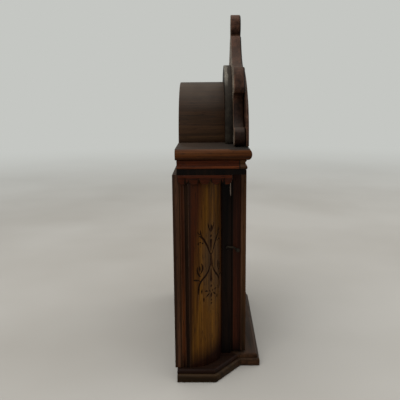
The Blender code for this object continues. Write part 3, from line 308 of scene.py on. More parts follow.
# Top of the cornice: grey-brown with dust where nobody polishes and a painted sheen from the light above,
# under the painted shadow of the crest.
DUSTY_SHEENED_WALNUT = wood("dusty_cornice_top", "deep", "#1b1008", "#281a10", "#342417", gloss=0.6, dust=0.12,
                    bands=cornice_bands)
# Mahogany-stained walnut of the frieze and aprons: darker and redder.
MAHOGANY = by_grain("mahogany_stained_walnut", "across deep", "#1e0802", "#391403", "#4b1e06", gloss=0.46,
                    dust=0.05, smoke=0.86)
# Bead of the frieze: the red stain worn to a brighter brown, with a painted highlight along its round.
RUBBED_HIGHLIT_BEAD = wood("rubbed_highlit_red_bead", "deep", "#331405", "#53260b", "#663512", dust=0.05)
# Smoked walnut of the crest: grey-brown, nearly matt.
SMOKED_WALNUT = wood("smoked_walnut", "across", "#20120b", "#3d271c", "#4f3427", gloss=0.58, dust=0.3)
# Sawn edge of the crest: the same walnut, with painted light on its ledges and painted shade in its hollows.
CREST_EDGE = wood("smoked_crest_edge", "across", "#2b1a11", "#4b3124", "#604032", gloss=0.58, dust=0.2,
                  bands=crest_bands)
# Back of the crest: pale grey-brown, painted light where the back face catches the light from behind.
BACKLIT_BACK = wood("backlit_board_back", "across", "#51453a", "#6c5f52", "#7f7265", gloss=0.66, dust=0.1)
# Dark front arris of the crest: painted shade on the chamfer, which faces away from the light.
SHADED_ARRIS = wood("shaded_crest_arris", "up", "#100805", "#1f120b", "#2a1a11", dust=0.1)
# Dull walnut of the hood: fine quiet lines from front to back, dust and a painted sheen along the crown.
HOOD_WALNUT = wood("dull_hood_walnut", "deep", "#24170a", "#352213", "#422e1a", gloss=0.55, dust=0.34,
                   bands=hood_bands)
# Dark base mouldings: nearly black along the sides, and worn browner by cleaning along the front.
BROWNED = ("#1b0f06", "#372213", "#452d1b")
BASE_WALNUT = {"deep": wood("dark_base_walnut_deep", "deep", "#180e04", "#2b1c0c", "#382713", dust=0.04),
               "across": wood("browned_base_front", "across", *BROWNED, dust=0.05)}
MOULD_WALNUT = {"deep": wood("dark_base_moulding_deep", "deep", "#0f0401", "#1b0b04", "#261206", dust=0.02),
                "across": wood("browned_base_top", "across", *BROWNED, dust=0.05)}
# Back walnut of the arched board: greenish grey with age.
BACK_WALNUT = wood("aged_back_walnut", "across", "#15120d", "#211c15", "#2d2820", gloss=0.6, dust=0.28,
                   bands=board_bands)
# Near-black walnut of the front board and the hollows: dark stain, and painted shade in the recesses.
BLACK_WALNUT = wood("dark_stained_shaded_walnut", "up", "#0a0402", "#180c06", "#23130a", gloss=0.55, dust=0.03,
                    smoke=0.35, foot=0.3)
# Golden walnut veneer of the rounded sides: amber in the middle with a painted highlight, and reddish at the
# borders with painted shade.
GOLDEN_VENEER = wood("golden_walnut_veneer", "up", "#331904", "#53330b", "#67430f", figure=6 * MM,
                     smoke=0.90, bands=veneer_bands)
# Rubbed arrises: the stain worn through to lighter wood.
RUBBED = wood("rubbed_walnut_edge", "up", "#2c1a10", "#472f1f", "#583d2a", dust=0.2)
# Rubbed edge of the back: a worn strip along the pine's long edges.
RUBBED_PINE = wood("rubbed_pine_edge", "up", "#2c1c10", "#452b1b", "#553725", smoke=0.60, dust=0.1)
# Rubbed dark arrises: only a little lighter than the dark stain.
RUBBED_DARK = wood("rubbed_dark_edge", "up", "#150a04", "#26150a", "#332011", dust=0.05)
# Stained pine of the back: coarse, dull and dark brown.
STAINED_PINE = wood("stained_pine", "up", "#1f1006", "#38200e", "#482c16", figure=14 * MM, gloss=0.62,
                    smoke=0.62, foot=0.35)
# Aged bare pine inside the case: never stained, gone honey-brown.
AGED_PINE = wood("aged_bare_pine", "up", "#6a4420", "#8a5f32", "#a0733f", figure=16 * MM, dust=0.0,
                 gloss=0.62)
# Pale walnut in the mark on the front board's arris.
PALE_WALNUT = wood("pale_walnut_mark", "up", "#6a5a50", "#8a7a6e", "#9d8d80", dust=0.1, gloss=0.7)
# Cut grooves: dark stain and painted shade at the bottom of each carved line.
GROOVE = wood("stained_shaded_groove", "up", "#0d0602", "#190c04", "#221206", dust=0.05, gloss=0.7)
# Grooves of the sides: painted shade as well, but browner, where the veneer's own stain shows.
SIDE_GROOVE = wood("brown_side_groove", "up", "#160b04", "#241308", "#2f1a0d", dust=0.05, gloss=0.7)

# Lacquered brass: yellow, with browner patches where the lacquer has gone.
BRASS = metal("lacquered_brass", "#b8924a", "#6b4f28", 0.32)
# Dull aged brass of the latch and the hinge pins, and of the cuts in the bob: nearly black-brown.
AGED_BRASS = metal("dull_aged_brass", "#332e27", "#171411", 0.5, tarnish=0.5)
# Polished steel: bright grey, with duller grey-brown patches.
STEEL = metal("polished_steel", "#9c9c9e", "#5a5650", 0.30)
# Blued steel of the hands: dark blue, duller in patches.
BLUED_STEEL = metal("blued_steel", "#232a3c", "#12141c", 0.30)
# Cast iron: dark grey and half matt.
CAST_IRON = metal("cast_iron", "#3b3a3a", "#231f1d", 0.60)


def clear_glass():
    """Old window glass: faintly green, not quite flat."""
    material, tree = new_finish("old_window_glass")
    place = add(tree, "TexCoord").outputs["Object"]
    ripple = add(tree, "TexNoise", {"Vector": place, "Scale": 1 / (45 * MM), "Detail": 1.0})
    bump = add(tree, "Bump", {"Height": ripple, "Strength": 0.06, "Distance": 0.6 * MM})
    rough = add(tree, "MapRange", [ripple, 0.0, 1.0, 0.01, 0.05])
    shader = add(tree, "BsdfPrincipled", {
        "Base Color": linear("#f4faf6"), "Roughness": rough, "IOR": 1.5, "Specular IOR Level": 0.25,
        "Transmission Weight": 1.0, "Normal": bump})
    path = add(tree, "LightPath").outputs
    passing = add(tree, "Math", [path["Is Shadow Ray"], path["Is Diffuse Ray"]], operation="MAXIMUM")
    open_way = add(tree, "BsdfTransparent", {"Color": linear("#f2f8f4")})
    close_finish(tree, add(tree, "MixShader", [passing, shader, open_way]))
    return material


def black_paint():
    """Black dial paint, brushed on by hand and half matt: denser and thinner patches."""
    material, tree = new_finish("black_dial_paint")
    place = add(tree, "TexCoord").outputs["Object"]
    patch = add(tree, "TexNoise", {"Vector": place, "Scale": 1 / (3 * MM), "Detail": 3.0})
    tone = add(tree, "ValToRGB", [patch], [(0.4, "#1b1816"), (0.7, "#2b2622")])
    rough = add(tree, "MapRange", [patch, 0.0, 1.0, 0.35, 0.6])
    close_finish(tree, add(tree, "BsdfPrincipled", {"Base Color": tone, "Roughness": rough, "IOR": 1.5}))
    return material


def dial_paint():
    """Cream oil paint on tin: yellowed towards the rim, with fine dirt."""
    material, tree = new_finish("cream_dial_paint")
    place = add(tree, "TexCoord").outputs["Object"]
    centred = add(tree, "Mapping", {"Vector": place, "Location": (0, 0, -ARCH_Z)})
    reach = add(tree, "VectorMath", [centred], operation="LENGTH").outputs["Value"]
    dirt = add(tree, "TexNoise", {"Vector": place, "Scale": 1 / (6 * MM), "Detail": 5.0})
    wander = add(tree, "Math", [dirt, 12 * MM, reach], operation="MULTIPLY_ADD")
    share = add(tree, "MapRange", [wander, 0.0, 84 * MM])
    colour = add(tree, "ValToRGB", [share],
                 [(0.0, "#d9cfb2"), (0.62, "#e0d8bf"), (0.86, "#d2c5a2"), (1.0, "#a8946a")])
    rough = add(tree, "MapRange", [dirt, 0.0, 1.0, 0.38, 0.60])
    bump = add(tree, "Bump", {"Height": dirt, "Strength": 0.12, "Distance": 0.1 * MM})
    close_finish(tree, add(tree, "BsdfPrincipled", {"Base Color": colour, "Roughness": rough, "IOR": 1.5,
                                                    "Normal": bump}))
    return material


GLASS = clear_glass()
DIAL_PAINT = dial_paint()
DIAL_BLACK = black_paint()


# Modelling helpers

SHARP = math.radians(35)
SMOOTH = math.radians(32)
WELD = 0.01 * MM


def only(piece):
    """Makes a piece the one selected and active object."""
    bpy.ops.object.select_all(action="DESELECT")
    piece.select_set(True)
    bpy.context.view_layer.objects.active = piece
    return piece


def edit(piece, *steps):
    """Runs mesh operators, each with its settings, on all of a piece's mesh."""
    only(piece)
    bpy.ops.object.mode_set(mode="EDIT")
    bpy.ops.mesh.select_all(action="SELECT")
    for operator, settings in steps:
        operator(**settings)
    bpy.ops.object.mode_set(mode="OBJECT")


def smooth(piece):
    """Shades a piece smooth but for its sharp edges."""
    only(piece)
    bpy.ops.object.shade_smooth_by_angle(angle=SMOOTH)
    return piece


def paint(piece, *materials):
    """Gives a piece its materials, in slot order."""
    piece.data.materials.clear()
    for material in materials:
        piece.data.materials.append(material)
    return piece


def copy_of(node, ending):
    """A merged copy of a CAD node's mesh, as an object of its own, named by the node and an ending."""
    only(frame["nodes"][node])
    bpy.ops.object.duplicate(linked=False)
    piece = bpy.context.active_object
    bpy.ops.object.parent_clear(type="CLEAR_KEEP_TRANSFORM")
    for key in [k for k in piece.keys() if k.startswith("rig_")]:
        del piece[key]
    piece.name = node + "_" + ending
    edit(piece, (bpy.ops.mesh.remove_doubles, {"threshold": WELD}),
         (bpy.ops.mesh.dissolve_limited, {"angle_limit": math.radians(0.5)}))
    return piece


def apply(piece, kind, **settings):
    """Adds a modifier with its settings and applies it."""
    only(piece)
    modifier = piece.modifiers.new(kind.lower(), kind)
    for key, value in settings.items():
        setattr(modifier, key, value)
    bpy.ops.object.modifier_apply(modifier=modifier.name)
    return piece


def rubbed(node, ending, width, *finishes):
    """A copy of a CAD node whose sharp edges are rounded to a width, in the second finish."""
    piece = paint(copy_of(node, ending), *finishes)
    apply(piece, "BEVEL", width=width, segments=2, limit_method="ANGLE", angle_limit=SHARP, material=1,
          harden_normals=False)
    return smooth(piece)


def seat(piece, body, slot, *nodes):
    """Sets a finished piece on its CAD body and lets it stand for CAD nodes; its slot is not used."""
    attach(piece, body)
    if nodes:
        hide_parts(*nodes)
    return piece


def worn(node, body, slot, edge, finish, edge_finish):
    """A board or plate with its sharp edges worn round."""
    return seat(rubbed(node, "worn", edge, finish, edge_finish), body, slot, node)


# Carving

# Strokes of the carved spray on a rounded side, in millimetres: across from its stem, up from the
# floor, and how wide the gouge went. The ones in SPRAY_PAIRS are cut on both sides of the stem.
SPRAY_MIDDLE = [
    [(0.4, 231.6, 1.0), (0.8, 228.5, 3.0), (0.4, 224.5, 2.8), (0.0, 220.0, 0.8)],
    [(0.0, 217.0, 0.8), (0.0, 214.8, 3.0), (0.0, 212.6, 0.8)],
    [(0.0, 210.6, 1.4), (0.0, 208.8, 3.8), (0.0, 202.0, 2.8), (0.1, 192.0, 0.8)],
    [(0.0, 190.0, 1.6), (0.0, 180.0, 3.2), (0.0, 169.5, 1.4)],
    [(0.0, 167.5, 0.8), (0.0, 158.0, 2.4), (0.0, 149.6, 3.6), (0.0, 146.6, 1.4)],
    [(0.0, 142.6, 0.8), (0.0, 140.5, 3.0), (0.0, 138.4, 0.8)],
    [(0.0, 130.5, 1.0), (0.0, 126.5, 2.8), (0.0, 122.8, 0.8)],
    [(0.0, 121.0, 0.8), (0.0, 119.2, 2.2), (0.0, 117.6, 0.8)],
    [(0.0, 115.9, 0.8), (0.0, 114.3, 2.6), (0.0, 112.6, 0.8)],
]
SPRAY_PAIRS = [
    [(-5.6, 234.0, 0.8), (-4.6, 229.6, 2.0), (-2.6, 224.6, 2.0), (-1.2, 221.4, 0.8)],
    [(-1.4, 187.9, 1.2), (-4.6, 195.2, 1.8), (-6.6, 200.4, 2.2), (-9.2, 205.4, 2.6), (-12.0, 210.0, 2.8),
     (-15.6, 214.6, 2.8), (-19.8, 217.0, 1.2)],
    [(-15.6, 215.6, 1.4), (-17.2, 220.0, 2.4), (-17.6, 225.2, 0.8)],
    [(-18.6, 218.6, 1.0), (-20.9, 221.2, 1.6), (-22.0, 224.0, 0.6)],
    [(-13.0, 206.0, 0.8), (-14.4, 206.1, 2.4), (-15.8, 206.2, 0.8)],
    [(-16.7, 207.8, 0.8), (-17.9, 207.5, 2.2), (-19.1, 207.2, 0.8)],
    [(-20.8, 208.0, 0.8), (-20.9, 205.9, 2.2), (-20.6, 203.6, 0.8)],
    [(-1.5, 174.4, 1.0), (-3.7, 167.0, 1.8), (-6.9, 161.3, 2.2), (-10.6, 156.9, 2.8), (-15.4, 152.2, 2.4),
     (-18.4, 148.0, 2.2), (-20.2, 143.1, 2.2), (-21.0, 137.2, 2.6), (-21.2, 130.6, 0.8)],
    [(-16.6, 176.8, 0.8), (-14.7, 171.5, 2.4), (-15.4, 166.0, 2.2), (-18.2, 161.0, 0.8)],
    [(-18.9, 173.0, 0.8), (-18.9, 168.6, 2.4), (-18.6, 164.6, 0.8)],
    [(-22.4, 172.0, 0.8), (-22.7, 167.0, 2.0), (-21.4, 161.6, 2.4), (-18.2, 157.0, 1.4)],
    [(-28.6, 152.4, 0.8), (-25.0, 152.4, 2.6), (-21.0, 151.8, 1.6), (-18.4, 150.4, 0.8)],
    [(-1.8, 131.6, 0.8), (-2.8, 133.2, 1.8), (-3.4, 135.4, 0.8)],
    [(-5.8, 133.6, 0.8), (-8.8, 134.4, 2.4), (-11.6, 134.6, 0.8)],
    [(-3.6, 130.4, 0.8), (-6.4, 127.8, 2.2), (-9.2, 124.9, 0.8)],
    [(-12.9, 125.4, 0.8), (-13.1, 122.2, 2.4), (-12.9, 118.8, 0.8)],
    [(-15.6, 138.2, 0.8), (-16.2, 135.2, 2.0), (-16.2, 131.6, 0.8)],
]
# Strokes of the leaf ornament on the crest and its overlays: across from the middle, up from the
# dial's centre, and how wide the gouge went.
CREST_MIDDLE = [
    [(0, 113, 1.0), (0, 121, 3.4), (0, 130, 2.4), (0, 139, 0.8)],
    [(0, 142, 0.8), (0, 145, 2.8), (0, 148, 0.8)],
    [(0, 150.5, 0.8), (0, 152.5, 2.0), (0, 154.5, 0.8)],
]
CREST_PAIRS = [
    [(2.5, 112, 1.0), (8, 119, 2.6), (11.5, 127, 2.2), (11, 135, 0.8)],
    [(4, 110.5, 1.0), (14, 113.5, 2.6), (22, 120, 2.4), (25, 129, 0.8)],
    [(16, 131, 0.8), (17.5, 134, 2.2), (18, 137, 0.8)],
    [(14, 109.5, 0.8), (25, 109, 2.4), (36, 112.5, 2.4), (45, 118, 1.8), (52, 116, 0.8)],
    [(37, 117, 0.8), (38, 122, 2.2), (36.5, 128, 0.8)],
    [(57, 113, 0.8), (67, 113.5, 2.2), (79, 109, 2.2), (92, 104, 1.6), (104, 101, 0.8)],
    [(108, 100, 0.8), (115, 97.5, 2.4), (122, 92, 0.8)],
]
OVERLAY_STROKES = [
    [(139, 6, 1.2), (138, 18, 2.2), (134, 32, 2.4), (126, 47, 2.4), (114, 62, 2.4), (100, 74, 2.2),
     (86, 84, 1.8), (74, 93, 0.8)],
    [(139, 20, 0.8), (147, 27, 2.6), (152, 38, 0.8)], [(134, 36, 0.8), (141, 45, 2.6), (143, 56, 0.8)],
    [(125, 50, 0.8), (128, 59, 2.6), (127, 68, 0.8)], [(110, 67, 0.8), (111, 74, 2.4), (107, 82, 0.8)],
    [(94, 80, 0.8), (93, 86, 2.2), (88, 92, 0.8)],
    [(137, 16, 0.8), (128, 19, 2.4), (120, 16, 0.8)], [(133, 31, 0.8), (124, 32, 2.4), (117, 28, 0.8)],
    [(122, 50, 0.8), (114, 46, 2.4), (110, 40, 0.8)], [(107, 66, 0.8), (101, 62, 2.2), (99, 56, 0.8)],
    [(90, 80, 0.8), (85, 77, 1.8), (84, 73, 0.8)],
    [(147, 12, 0.8), (152, 16, 2.2), (157, 24, 0.8)], [(131, 7, 0.8), (125, 8, 2.2), (119, 6, 0.8)],
]
# Height of the finial's middle above the dial's centre, in millimetres, and how many times its
# stroke's width a cut opens.
FINIAL_UP = 177
GOUGE_SPREAD = 1.3


def mirrored(strokes):
    """The same strokes on the other side of the middle."""
    return [[(-across, up, width) for across, up, width in stroke] for stroke in strokes]


def gouge(strokes):
    """Tapered round rods along the strokes, lying in the plane y = 0: the tool that cuts them."""
    curve = bpy.data.curves.new("gouge", "CURVE")
    curve.dimensions = "3D"
    curve.bevel_depth = 0.5 * MM
    curve.bevel_resolution = 1
    curve.resolution_u = 3
    curve.use_fill_caps = True
    for stroke in strokes:
        spline = curve.splines.new("BEZIER")
        spline.bezier_points.add(len(stroke) - 1)
        for point, (across, up, width) in zip(spline.bezier_points, stroke):
            point.co = (across * MM, 0, up * MM)
            point.radius = width * GOUGE_SPREAD
            point.handle_left_type = point.handle_right_type = "AUTO"
    tool = bpy.data.objects.new("gouge", curve)
    bpy.context.scene.collection.objects.link(tool)
    only(tool)
    bpy.ops.object.convert(target="MESH")
    return bpy.context.active_object


def face_out(piece):
    """Turns every face of a closed mesh outwards."""
    edit(piece, (bpy.ops.mesh.remove_doubles, {"threshold": WELD}),
         (bpy.ops.mesh.normals_make_consistent, {"inside": False}))


def carve(piece, tool):
    """Cuts the tool's form into the piece, leaves the cut in the tool's finish, and drops the tool."""
    apply(piece, "BOOLEAN", operation="DIFFERENCE", solver="EXACT", use_self=True, object=tool,
          material_mode="TRANSFER")
    bpy.data.objects.remove(tool)
    return smooth(piece)


def cut(piece, strokes, place, finish=GROOVE):
    """Cuts strokes into the piece in a finish, with each point of their tool put where place says."""
    tool = paint(gouge(strokes), finish)
    for point in tool.data.vertices:
        point.co = place(point.co)
    face_out(tool)
    return carve(piece, tool)


def engrave(piece, depth, strokes):
    """Cuts strokes, measured from the dial's centre, into a face that looks forward at that depth."""
    return cut(piece, strokes, lambda co: co + Vector((0, depth, ARCH_Z)))


def rosette(petals, inner, outer, width, up=0.0):
    """Strokes that stand round a point like petals."""
    strokes = []
    for i in range(petals):
        turn = 2 * math.pi * i / petals
        reach = (inner, (inner + outer) / 2, outer)
        strokes.append([(r * math.sin(turn), up + r * math.cos(turn), w)
                        for r, w in zip(reach, (width / 3, width, width / 3))])
    return strokes


def ring_stroke(radius, width):
    """A stroke that runs once round a point."""
    turns = [2 * math.pi * i / 24 for i in range(25)]
    return [(radius * math.sin(turn), radius * math.cos(turn), width) for turn in turns]


def carved_side(word, side):
    """A rounded side of golden veneer with its spray cut along the middle of the round."""
    def place(co):
        turn = math.radians(STEM_AT) + co.x / PANEL_R
        reach = PANEL_R - co.y
        out = PANEL_CENTRE[0] - reach * math.cos(turn)
        return -side * out, PANEL_CENTRE[1] - reach * math.sin(turn), co.z

    node = "side_panel_" + word
    piece = rubbed(node, "carved", 0.4 * MM, GOLDEN_VENEER, RUBBED)
    cut(piece, SPRAY_MIDDLE + SPRAY_PAIRS + mirrored(SPRAY_PAIRS), place, SIDE_GROOVE)
    return seat(piece, "case", "golden_veneer", node)


# Woodwork

# How far along an axis a face's normal reaches when the face looks that way, nearly, half, or hardly.
SQUARE_ON, NEARLY_ON, HALF_ON, HARDLY_ON = 0.97, 0.9, 0.5, 0.1
# Where the mitres of the boards that turn a corner start: half width and depth.
CORNICE_CORNER, FRIEZE_CORNER = (152 * MM, -16 * MM), (150 * MM, -14 * MM)
BASE_CORNER, BASE_TOP_CORNER = (150 * MM, -26 * MM), (150 * MM, -40 * MM)
BOARD_BACK = -12 * MM
# The frieze: its bead's heights, its outer and front faces, its inner ends and its upright joint.
FRIEZE_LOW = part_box("frieze_left")[0]
BEAD_LOW, BEAD_HIGH = FRIEZE_LOW.z + 8.4 * MM, FRIEZE_LOW.z + 12.2 * MM
FRIEZE_OUT, FRIEZE_FRONT = -(FRIEZE_LOW.x + 8 * MM), FRIEZE_LOW.y + 8 * MM
FRIEZE_INNER = 100 * MM
JOINT_BACK = -28.0 * MM
JOINT_FRONT = JOINT_BACK - 1.6 * MM


def saw(piece, point, across):
    """Scores the piece along a joint, so that the boards on its two sides can differ."""
    edit(piece, (bpy.ops.mesh.bisect, {"plane_co": point, "plane_no": across}))


def saw_depths(piece, *depths):
    """Scores the piece along upright planes at some depths."""
    for depth in depths:
        saw(piece, (0, depth, 0), (0, 1, 0))


def regrain(piece, slot, belongs):
    """Gives the faces of one board of the piece another material slot."""
    for face in piece.data.polygons:
        if face.material_index == 0 and belongs(face.center):
            face.material_index = slot


def repaint(piece, finish, belongs):
    """Gives the faces that belong to a part of the piece another finish."""
    piece.data.materials.append(finish)
    for face in piece.data.polygons:
        if belongs(face):
            face.material_index = len(piece.data.materials) - 1


def mitred(node, slot, edge, finishes, edge_finish, corner):
    """A board that turns a corner: side grain runs deep, front grain runs across, with a mitre between."""
    piece = rubbed(node, "worn", edge, finishes["deep"], edge_finish, finishes["across"])
    for side in (-1, 1):
        saw(piece, (side * corner[0], corner[1], 0), (side, 1, 0))
    saw_depths(piece, BOARD_BACK)
    regrain(piece, 2, lambda spot: abs(spot.x) - corner[0] + spot.y - corner[1] < 0 and spot.y < BOARD_BACK)
    return seat(piece, "case", slot, node)


def on_bead(face):
    """Whether a face of the frieze lies on its bead, along the outer side or along the front."""
    out, depth = abs(face.center.x), face.center.y
    sideways = abs(face.normal.x) if out < FRIEZE_INNER else 0
    shown = (out > FRIEZE_OUT and depth > JOINT_BACK
             or depth < FRIEZE_FRONT and abs(face.normal.y) > HARDLY_ON)
    return shown and BEAD_LOW < face.center.z < BEAD_HIGH and max(sideways, face.normal.y) < NEARLY_ON


for word in ("left", "right"):
    cornice = mitred("cornice_" + word, "red_walnut", 0.4 * MM, RED_WALNUT, RUBBED, CORNICE_CORNER)
    repaint(cornice, DUSTY_SHEENED_WALNUT, lambda face: face.normal.z > NEARLY_ON)
    frieze = mitred("frieze_" + word, "dark_walnut", 0.25 * MM, MAHOGANY, MAHOGANY["deep"], FRIEZE_CORNER)
    saw_depths(frieze, JOINT_BACK, JOINT_FRONT)
    repaint(frieze, GROOVE, lambda face: JOINT_FRONT < face.center.y < JOINT_BACK
            and abs(face.center.x) > FRIEZE_OUT)
    repaint(frieze, DOOR_FACING["deep"], lambda face: face.center.y < JOINT_FRONT
            and abs(face.normal.y) < HARDLY_ON and abs(face.center.x) > FRIEZE_OUT)
    # Painted shade in the hollow under the bead.
    repaint(frieze, BLACK_WALNUT, lambda face: face.center.z < BEAD_LOW)
    repaint(frieze, RUBBED_HIGHLIT_BEAD, on_bead)
mitred("base_board", "dark_walnut", 0.7 * MM, BASE_WALNUT, BASE_WALNUT["deep"], BASE_CORNER)
mitred("base_top", "walnut", 0.5 * MM, MOULD_WALNUT, RUBBED_DARK, BASE_TOP_CORNER)
worn("hood_back", "case", "pine", 0.5 * MM, STAINED_PINE, RUBBED)
worn("hood", "case", "walnut", 0.5 * MM, HOOD_WALNUT, RUBBED)
worn("arch_board", "case", "dark_walnut", 0.6 * MM, BACK_WALNUT, BACK_WALNUT)

FLUTE_Y, FLUTE_R = 45.35 * MM, 1.7 * MM
STILE_OUT = 176 * MM
for word in ("left", "right"):
    stile = worn("stile_" + word, "case", "walnut", 0.3 * MM, WALNUT, RUBBED)
    # Painted shade in the flute.
    repaint(stile, GROOVE, lambda face: face.center.y < FLUTE_Y + FLUTE_R
            and abs(face.center.x) > STILE_OUT and abs(face.normal.y) < SQUARE_ON)

STRIP_FRONT, STRIP_BACK = 55.6 * MM, 59.6 * MM
# Depths of the notches between the lobes of the aprons, in millimetres.
APRON_NOTCHES = (45.3, 27.3, 9.6, -7.8)


def backboard():
    """The back, whose long edges show a dark rear arris and a rubbed strip before it."""
    piece = rubbed("backboard", "worn", 0.6 * MM, STAINED_PINE, RUBBED_DARK)
    saw_depths(piece, STRIP_FRONT, STRIP_BACK)
    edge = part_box("backboard")[1].x - 1.5 * MM
    repaint(piece, RUBBED_PINE, lambda face: abs(face.center.x) > edge
            and STRIP_FRONT < face.center.y < STRIP_BACK)
    repaint(piece, RUBBED_DARK, lambda face: abs(face.center.x) > edge and face.center.y > STRIP_BACK)
    repaint(piece, AGED_PINE, lambda face: face.normal.y < -SQUARE_ON)
    return seat(piece, "case", "pine", "backboard")


def apron(word, side):
    """A scalloped apron, with a notch cut up between each pair of lobes and painted dark, as shade between
    them.
    """
    node = "apron_" + word
    piece = rubbed(node, "worn", 0.4 * MM, MAHOGANY["deep"], RUBBED_DARK)
    low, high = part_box(node)
    face = low.x if side < 0 else high.x
    foot = low.z / MM
    notches = [[(depth, foot + 1, 2.6), (depth, foot + 5, 1.8), (depth, foot + 9, 0.6)]
               for depth in APRON_NOTCHES]
    cut(piece, notches, lambda co: (face + side * co.y, co.x, co.z))
    return seat(piece, "case", "dark_walnut", node)


backboard()
apron("left", -1)
apron("right", 1)
carved_side("left", -1)
carved_side("right", 1)


def crest():
    """The fretted crest: rubbed along its back arris, with painted shade along the chamfer of its front and
    painted light on its back face.
    """
    piece = rubbed("crest", "worn", 0.6 * MM, SMOKED_WALNUT, RUBBED)
    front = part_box("crest")[0].y
    face_end, chamfer_end = front + 0.05 * MM, front + 2.0 * MM
    repaint(piece, CREST_EDGE, lambda face: face.material_index == 0 and abs(face.normal.y) < HALF_ON)
    repaint(piece, SHADED_ARRIS, lambda face: face_end < face.center.y < chamfer_end)
    repaint(piece, BACKLIT_BACK, lambda face: face.normal.y > SQUARE_ON)
    petals = rosette(8, 3.5, 12.0, 2.6, FINIAL_UP)
    engrave(piece, front, CREST_MIDDLE + CREST_PAIRS + mirrored(CREST_PAIRS) + petals)
    return seat(piece, "case", "dark_walnut", "crest")


def overlay(word, side):
    """A crescent board laid on the crest, with a leaf spray cut along it."""
    node = "crest_overlay_" + word
    piece = rubbed(node, "carved", 0.6 * MM, SMOKED_WALNUT, RUBBED)
    engrave(piece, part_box(node)[0].y, OVERLAY_STROKES if side > 0 else mirrored(OVERLAY_STROKES))
    return seat(piece, "case", "walnut", node)


def pendulum_bob():
    """The turned brass bob, with a rosette and two rings cut in its face."""
    low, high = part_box("pendulum_bob")
    radius = (high.x - low.x) / 2
    middle = Vector((0, (low.y + high.y) / 2, low.z + radius))

    def place(co):
        share = min(1, Vector((co.x, co.z)).length / radius)
        return co + (middle - Vector((0, (middle.y - low.y) * math.sqrt(1 - share ** 4), 0)))

    piece = paint(copy_of("pendulum_bob", "turned"), BRASS)
    rings = [ring_stroke(19.0, 0.9), ring_stroke(25.0, 1.3)]
    cut(piece, rosette(8, 3.0, 15.0, 2.2) + rings, place, AGED_BRASS)
    return seat(piece, "pendulum", "brass", "pendulum_bob")


PALE_MARK_Z = 278 * MM


def case_front():
    """The front board, with a pale mark cut into its left arris."""
    piece = rubbed("case_front", "worn", 0.4 * MM, BLACK_WALNUT, RUBBED_DARK)
    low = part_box("case_front")[0]
    bpy.ops.object.select_all(action="DESELECT")
    bpy.ops.mesh.primitive_uv_sphere_add(segments=16, ring_count=10, radius=1,
                                         location=(low.x - 0.4 * MM, low.y + 0.1 * MM, PALE_MARK_Z),
                                         scale=(1.6 * MM, 1.5 * MM, 13 * MM))
    carve(piece, paint(bpy.context.active_object, PALE_WALNUT))
    return seat(piece, "case", "dark_walnut", "case_front")


DOOR_LOW, DOOR_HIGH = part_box("door_frame")
DOOR_STILE, DOOR_RAIL_TOP, DOOR_HEAD = 100 * MM, 48 * MM, 276.5 * MM
DOOR_BEAD_BACK, DOOR_BEAD_FRONT = -33.3 * MM, -36.0 * MM
REAR_EDGE = DOOR_HIGH.y - 3.5 * MM
# Half width between the quirks at the door's outer edges, and their ends, in millimetres.
QUIRK_OUT, QUIRK_FOOT, QUIRK_HEAD = DOOR_HIGH.x / MM, DOOR_LOW.z / MM - 2, 301


def door_frame():
    """The door: upright stiles with the bottom rail and the arched head between them, and a quirk
    and bead along its outer edges, which part the dark frame from its olive facing."""
    piece = rubbed("door_frame", "worn", 0.6 * MM, DOOR_FACING["up"], RUBBED_DARK, DOOR_FACING["across"])
    for side in (-1, 1):
        saw(piece, (side * DOOR_STILE, 0, 0), (1, 0, 0))
    saw(piece, (0, 0, DOOR_HEAD), (0, 0, 1))
    saw_depths(piece, REAR_EDGE, DOOR_BEAD_BACK, DOOR_BEAD_FRONT)
    regrain(piece, 2, lambda spot: abs(spot.x) < DOOR_STILE and not DOOR_RAIL_TOP < spot.z < DOOR_HEAD)
    repaint(piece, DOOR_WALNUT, lambda face: face.center.y > DOOR_BEAD_BACK)
    # Painted shade on the door's rear edge, in the recess beside the case front.
    repaint(piece, BLACK_WALNUT, lambda face: face.center.y > REAR_EDGE)
    # Wear and a painted highlight along the bead of the outer edges.
    repaint(piece, RUBBED, lambda face: abs(face.center.x) > DOOR_HIGH.x - 1 * MM
            and DOOR_BEAD_FRONT < face.center.y < DOOR_BEAD_BACK)
    quirks = [[(side * QUIRK_OUT, QUIRK_FOOT, 0.5), (side * QUIRK_OUT, QUIRK_HEAD, 0.5)] for side in (-1, 1)]
    cut(piece, quirks, lambda co: (co.x, co.y + DOOR_BEAD_BACK, co.z))
    return seat(piece, "door", "dark_walnut", "door_frame")


crest()
overlay("left", -1)
overlay("right", 1)
case_front()
door_frame()
pendulum_bob()


# Dial marks and hands

INK = 0.12 * MM
INK_Y = DIAL_LOW.y - INK / 2
UPRIGHT = (math.radians(90), 0, 0)
NUMERAL_H, NUMERAL_FOOT = 12.5 * MM, 47.5 * MM
THICK, THIN = 2.3 * MM, 1.1 * MM
SERIF_H, SERIF_W = 0.7 * MM, 3.1 * MM
LETTER_W = {"I": 3.9 * MM, "V": 8.2 * MM, "X": 8.4 * MM}
LETTER_MARGIN = 1.3 * MM
HOURS = ["XII", "I", "II", "III", "IIII", "V", "VI", "VII", "VIII", "IX", "X", "XI"]
# Outer and inner radius of each ring of the minute track, and its strokes' height and foot.
TRACK_RINGS = ((66.6 * MM, 66.1 * MM), (62.9 * MM, 62.5 * MM))
MARK_H, MARK_FOOT = 3.4 * MM, 62.8 * MM
BOLD_MARK, FINE_MARK = 1.3 * MM, 0.5 * MM


def gather(pieces):
    """Selects the pieces, with the first of them active."""
    bpy.ops.object.select_all(action="DESELECT")
    for piece in pieces:
        piece.select_set(True)
    bpy.context.view_layer.objects.active = pieces[0]


